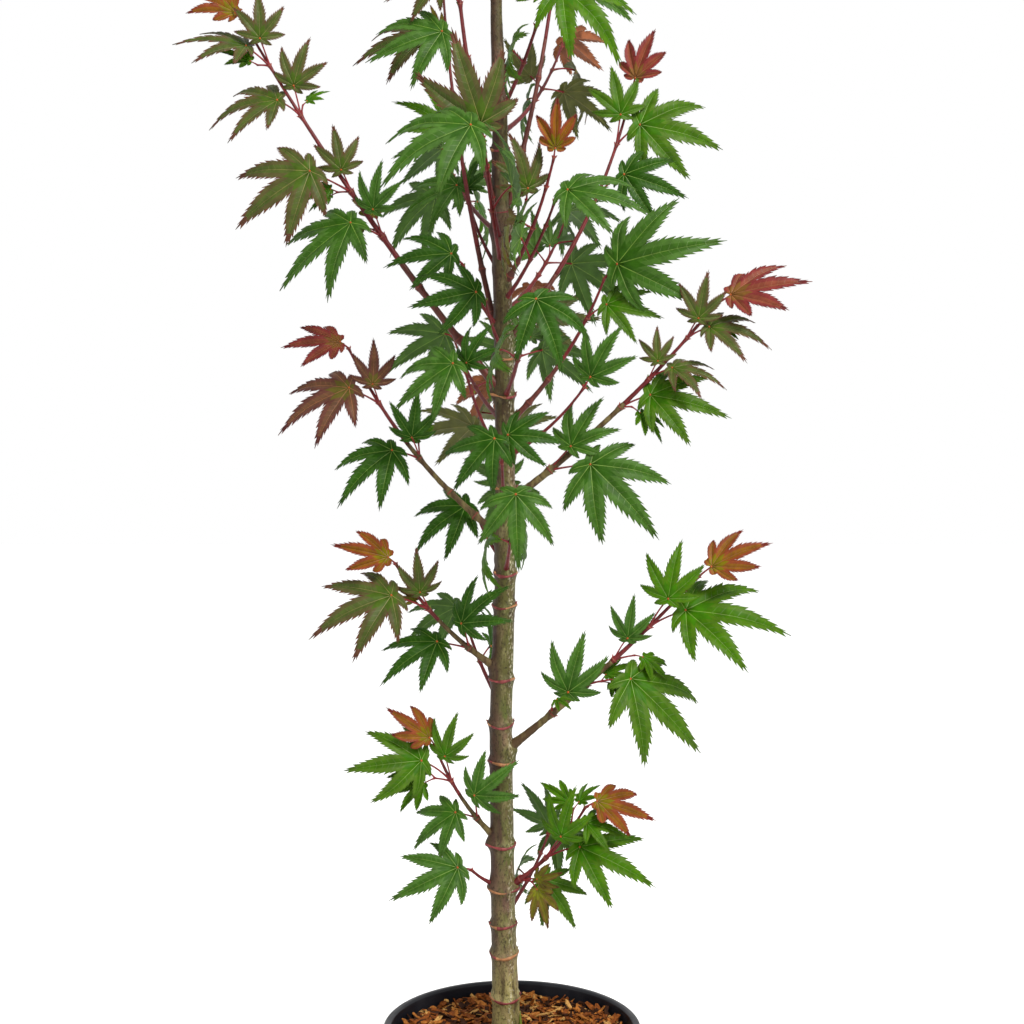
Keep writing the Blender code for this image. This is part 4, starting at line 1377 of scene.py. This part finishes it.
def arc(centre, radius, start, end, steps):
    """Points of an arc in the pot's profile, as radius and height, angles in degrees."""
    points = []
    for k in range(steps + 1):
        turn = math.radians(start + (end - start) * k / steps)
        points.append((centre[0] + radius * math.cos(turn), centre[1] + radius * math.sin(turn)))
    return points


def outer_wall(height):
    """Radius of the pot's outer wall at a height."""
    return FOOT_RADIUS + (WALL_TOP_RADIUS - FOOT_RADIUS) * height / UNDER_RIM


def pot_profile():
    """The pot's section: from the middle of its floor up inside, over the rolled rim, down to the foot."""
    rim_inner = RIM_RADIUS - RIM_WIDTH
    inside = [
        (0.0, FLOOR),
        (FOOT_RADIUS - WALL - 0.003, FLOOR),
        (FOOT_RADIUS - WALL, FLOOR + 0.003),
        (INNER_TOP_RADIUS, UNDER_RIM),
        (rim_inner - 0.0004, POT_HEIGHT - 0.007),
    ]
    lip = arc((rim_inner + RIM_ROUND, POT_HEIGHT - RIM_ROUND), RIM_ROUND, 180.0, 90.0, 8)
    lip += arc((RIM_RADIUS - RIM_ROUND, POT_HEIGHT - RIM_ROUND), RIM_ROUND, 90.0, 0.0, 8)
    skirt = arc((RIM_RADIUS - SKIRT_ROUND, UNDER_RIM + SKIRT_ROUND), SKIRT_ROUND, 0.0, -90.0, 5)
    profile = inside + lip + skirt
    profile += [(WALL_TOP_RADIUS + 0.0006, UNDER_RIM), (WALL_TOP_RADIUS, UNDER_RIM - 0.0006)]
    for band in BANDS:
        wall = outer_wall(band)
        profile += [
            (wall, band + BAND_HALF + BAND_RISE),
            (wall - BAND_DEEP, band + BAND_HALF),
            (wall - BAND_DEEP, band - BAND_HALF),
            (wall, band - BAND_HALF - BAND_RISE),
        ]
    foot_ring = FOOT_RADIUS - 0.010
    profile += arc((FOOT_RADIUS - FOOT_ROUND, FOOT_ROUND), FOOT_ROUND, 0.0, -90.0, 6)
    profile += [(foot_ring, 0.0), (foot_ring - 0.0015, FOOT_RECESS), (0.0, FOOT_RECESS)]
    return profile


def make_pot(finish):
    """The moulded pot turned from its profile."""
    corners = [(radius, 0.0, height) for radius, height in pot_profile()]
    edges = [(k, k + 1) for k in range(len(corners) - 1)]
    pot = show("pot_shell", mesh_data("pot_shell", corners, edges, [], [finish]))
    spin = pot.modifiers.new("turn", "SCREW")
    spin.steps = POT_STEPS
    spin.render_steps = POT_STEPS
    spin.use_merge_vertices = True
    spin.merge_threshold = 1e-5
    spin.use_smooth_shade = True
    crease = pot.modifiers.new("crisp_edges", "EDGE_SPLIT")
    crease.split_angle = math.radians(38.0)
    dress(pot, ["pot"])


def inner_wall(height):
    """Radius of the pot's inner wall at a height."""
    share = (height - FLOOR) / (UNDER_RIM - FLOOR)
    lower = FOOT_RADIUS - WALL
    return lower + (INNER_TOP_RADIUS - lower) * share


def chip_mesh(length, width, thick, bend, luck):
    """A split wood chip: five uneven sections along a bent line."""
    corners = []
    for share in even_shares(0.0, 1.0, CHIP_SECTIONS - 1):
        wide = width / 2 * (0.55 + 0.9 * math.sin(math.pi * (0.12 + 0.76 * share))) * luck.uniform(0.55, 1.1)
        deep = thick / 2 * luck.uniform(0.55, 1.15)
        rise = bend * (share - 0.5) ** 2 * length
        x = (share - 0.5) * length
        shift = luck.uniform(-0.18, 0.18) * width
        for side, level in ((-1, -1), (1, -1), (1, 1), (-1, 1)):
            ragged = x + luck.uniform(-0.04, 0.04) * length
            corners.append(Vector((ragged, side * wide + shift, level * deep + rise)))
    return corners, side_faces(CHIP_SECTIONS, 4) + [(3, 2, 1, 0), (16, 17, 18, 19)]


def make_chips(finishes):
    """Wood chips heaped loosely on the potting mix, clear of the pot's wall and the trunk."""
    luck = random.Random(CHIP_SEED)
    chips = Heap()
    trunk_foot = Vector(TRUNK_LINE[0][1:3])
    wall = inner_wall(MIX_TOP)
    for number in range(CHIPS):
        long_chip = luck.random() < LONG_CHIPS
        length = luck.uniform(0.013, 0.026) if long_chip else luck.uniform(0.005, 0.014)
        width = length * luck.uniform(0.10, 0.24) if long_chip else length * luck.uniform(0.25, 0.65)
        thick = min(width, 0.0022) * luck.uniform(0.35, 0.9)
        away = (wall - length * 0.30) * math.sqrt(luck.random())
        turn = luck.uniform(0.0, math.tau)
        x = away * math.cos(turn)
        y = away * math.sin(turn)
        if (Vector((x, y)) - trunk_foot).length < TRUNK_LINE[0][3] + length * 0.30:
            continue
        layer = number / CHIPS
        mound = CHIP_MOUND * noise.noise(Vector((x * 30.0, y * 30.0, 0.0)))
        height = MIX_TOP + 0.0002 + CHIP_HEAP * layer + mound
        steep = luck.uniform(-0.75, 0.75) if luck.random() < STEEP_CHIPS else luck.uniform(-0.28, 0.28)
        place = Matrix.Translation((x, y, height))
        place @= Matrix.Rotation(luck.uniform(0.0, math.tau), 4, "Z")
        place @= Matrix.Rotation(steep, 4, "Y")
        place @= Matrix.Rotation(luck.uniform(-0.5, 0.5), 4, "X")
        mesh = chip_mesh(length, width, thick, luck.uniform(-0.8, 0.8), luck)
        corners = [place @ corner for corner in mesh[0]]
        if any(math.hypot(corner.x, corner.y) > wall - 0.0006 for corner in corners):
            continue
        # Painted shade: chips below the top layer take only the dark tones, darkening the gaps under the
        # upper chips.
        tone = luck.choice((0, 0, 1, 1, 1, 2, 2, 3) if layer > TOP_LAYER else (0, 0, 1))
        chips.add(corners, mesh[1], tone)
    chips.piece("wood_chips", finishes, "potting_mix", smooth=False)


# Plant

def make_wood(finishes):
    """Boughs, stems, their scar rings and buds."""
    older, young, stems, rings, buds = (Heap() for _ in range(5))
    for number, shoot in enumerate(ALL_SHOOTS):
        luck = random.Random(SPUR_SEED * 2 + number)
        mass = "leaves_" + shoot.name
        if shoot.bare:
            heap = older if shoot.foot < YOUNG_WOOD else young
            wood_stretch(heap, shoot, 0.0, shoot.bare, BOUGH_SIDES, "bough_" + shoot.name)
        turn = shoot.bare
        if shoot.foot < YOUNG_WOOD and shoot.bare:
            turn = max(shoot.bare, RED_FROM)
            wood_stretch(older, shoot, shoot.bare, turn, STEM_SIDES, mass)
        wood_stretch(stems, shoot, turn, 1.0, STEM_SIDES, mass)
        node_trim(rings, buds, shoot, luck, mass)
    foot, _ = trunk_at(0.0)
    sprout = Vector((foot.x + 0.0150, -0.0050, foot.z))
    buds.add(*cone(sprout, sprout + Vector((-0.0010, -0.0015, SPROUT_HEIGHT)), 0.0020), 1, "trunk")
    older.piece("lower_boughs", [finishes["older"]], "bough_bark")
    young.piece("upper_boughs", [finishes["young"]], "young_bark")
    stems.piece("stems", [finishes["stem"]], "young_bark")
    rings.piece("node_rings", [finishes["stem_ring"]], "young_bark")
    buds.piece("buds", [finishes["bud_red"], finishes["bud_green"]], "young_bark")


def make_foliage(finishes):
    """Leaves of all shoots and the spurs of small leaves at their nodes."""
    grown, spurs = place_leaves(ALL_SHOOTS)
    foliage = Foliage()
    twigs = Heap()
    for number, shoot in enumerate(ALL_SHOOTS):
        luck = random.Random(SEED * 3 + number)
        node = "leaves_" + shoot.name
        for sprig in grown[shoot.name]:
            tint = tint_of(shoot, sprig.share, sprig.side, luck)
            young = sprig.share == 1.0 and FAMILY[tint] == "young"
            habit, plans = (YOUNG, foliage.young_plans) if young else (GROWN, foliage.grown_plans)
            foliage.add_leaf(sprig.leaf, tint, habit, plans, node, luck)
        for spur in spurs[shoot.name]:
            twig = arched(spur.foot, spur.tip, UP * 0.0008, 5)
            twigs.add(*tube_mesh(twig, [0.00125, 0.0011, 0.0010, 0.0009, 0.0009, 0.0010], 7), 0, node)
            tint = luck.choice(("olive", "fresh", "fresh", "grass"))
            for leaf in spur.leaves:
                foliage.add_leaf(leaf, tint, YOUNG, foliage.small_plans, node, luck)
    for tint, heap in foliage.uppers.items():
        zones = [leaf_finish(f"{tint}_leaf_{part}", colour)
                 for part, colour in zip(("heart", "flesh", "flank", "teeth"), TINTS[tint])]
        heap.piece("leaves_upper_" + tint, zones, "leaves")
    kinds = (
        (foliage.unders, "leaves_under_", "_leaf_underside", UNDERSIDES, 0.60, 0.30),
        (foliage.ribs, "leaf_ribs_", "_leaf_rib", RIBS, 0.45, 0.40),
        (foliage.veins, "leaf_veins_", "_leaf_vein", FINE_VEINS, 0.45, 0.40),
    )
    for family in UNDERSIDES:
        for heaps, piece, finish, colours, roughness, gloss in kinds:
            skin = leaf_finish(family + finish, colours[family], roughness, gloss)
            heaps[family].piece(piece + family, [skin], "leaves")
    foliage.stalks.piece("leaf_stalks", [finishes["stalk"]], "young_bark")
    foliage.joints.piece("leaf_joints", [finishes["joint"]], "leaves")
    twigs.piece("spur_twigs", [finishes["stalk"]], "young_bark")


def make_plant():
    wood = {
        "older": older_bark(),
        "young": plain_wood("upper_bough_bark", (98, 48, 40)),
        "stem": plain_wood("stem_bark", (108, 32, 34)),
        "stem_ring": plain_wood("stem_ring", (128, 62, 48)),
        "stalk": plain_wood("leaf_stalk", (134, 38, 42), 0.42, 1.2),
        "joint": plain_wood("leaf_joint", (184, 92, 34), 0.5, 1.15),
        "bud_red": plain_wood("red_bud", (150, 48, 44)),
        "bud_green": plain_wood("green_bud", (112, 128, 48)),
    }
    rings = [
        plain_wood("ring_crimson", (124, 54, 54), light=1.6),
        plain_wood("ring_tan", (168, 116, 76)),
        plain_wood("ring_dark", (62, 38, 30)),
    ]
    make_trunk(trunk_bark(), rings)
    make_wood(wood)
    make_foliage(wood)


def make_pot_and_mix():
    make_pot(pot_plastic())
    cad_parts["potting_mix"].data.materials.clear()
    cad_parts["potting_mix"].data.materials.append(damp_mix())
    tones = (("chip_dark", (64, 34, 16)), ("chip_russet", (144, 78, 28)),
             ("chip_orange", (190, 118, 50)), ("chip_pale", (214, 162, 92)))
    make_chips([chip_wood(name, tone) for name, tone in tones])


# Stage, light and camera

FLOOR_HALF = 30.0
FLOOR_GLOW = 0.30
KEY_POWER = 190.0
KEY_COLOUR = (1.0, 0.97, 0.90)
FILL_POWER = 10.0


def make_floor():
    """A wide pale floor under the pot."""
    corners = [(x * FLOOR_HALF, y * FLOOR_HALF, 0.0) for x, y in ((-1, -1), (1, -1), (1, 1), (-1, 1))]
    paper = Finish("pale_floor", (0.80, 0.80, 0.80, 1.0), 0.9, Emission_Color=(1.0, 1.0, 1.0, 1.0),
                   Emission_Strength=FLOOR_GLOW)
    floor = show("floor", mesh_data("floor", corners, [], [(0, 1, 2, 3)], [paper.material]))


def make_light(name, place, aim, size, power, colour=(1.0, 1.0, 1.0)):
    """A square soft light that looks at a point."""
    lamp = bpy.data.lights.new(name, "AREA")
    lamp.size = size
    lamp.energy = power
    lamp.color = colour
    light = show(name, lamp)
    light.location = place
    light.rotation_euler = (Vector(aim) - Vector(place)).to_track_quat("-Z", "Y").to_euler()


def make_studio():
    """Even white surroundings with a soft key from the front right and a weaker fill from the left."""
    world = bpy.data.worlds.new("white_studio")
    world.use_nodes = True
    backdrop = world.node_tree.nodes["Background"]
    backdrop.inputs["Color"].default_value = (1.0, 1.0, 1.0, 1.0)
    backdrop.inputs["Strength"].default_value = 1.0
    bpy.context.scene.world = world
    make_light("key", (1.5, -2.2, 3.2), (0.0, 0.0, 0.8), 1.2, KEY_POWER, KEY_COLOUR)
    make_light("fill", (-2.4, -1.8, 1.6), (0.0, 0.0, 0.7), 1.8, FILL_POWER)
    bpy.context.scene.view_settings.view_transform = "Standard"
    bpy.context.scene.view_settings.look = "None"


def make_camera():
    """The photograph's camera: level, at the height of the picture's middle."""
    lens = bpy.data.cameras.new("photo_camera")
    lens.sensor_width = SENSOR
    lens.lens = SENSOR * CAMERA_DISTANCE * PIXELS_PER_METRE / PHOTO_PIXELS
    lens.clip_end = 100.0
    camera = show("photo_camera", lens)
    camera.location = (0.0, -CAMERA_DISTANCE, CAMERA_HEIGHT)
    camera.rotation_euler = (math.radians(90.0), 0.0, 0.0)
    bpy.context.scene.camera = camera


make_plant()
make_pot_and_mix()
make_floor()
make_studio()
make_camera()
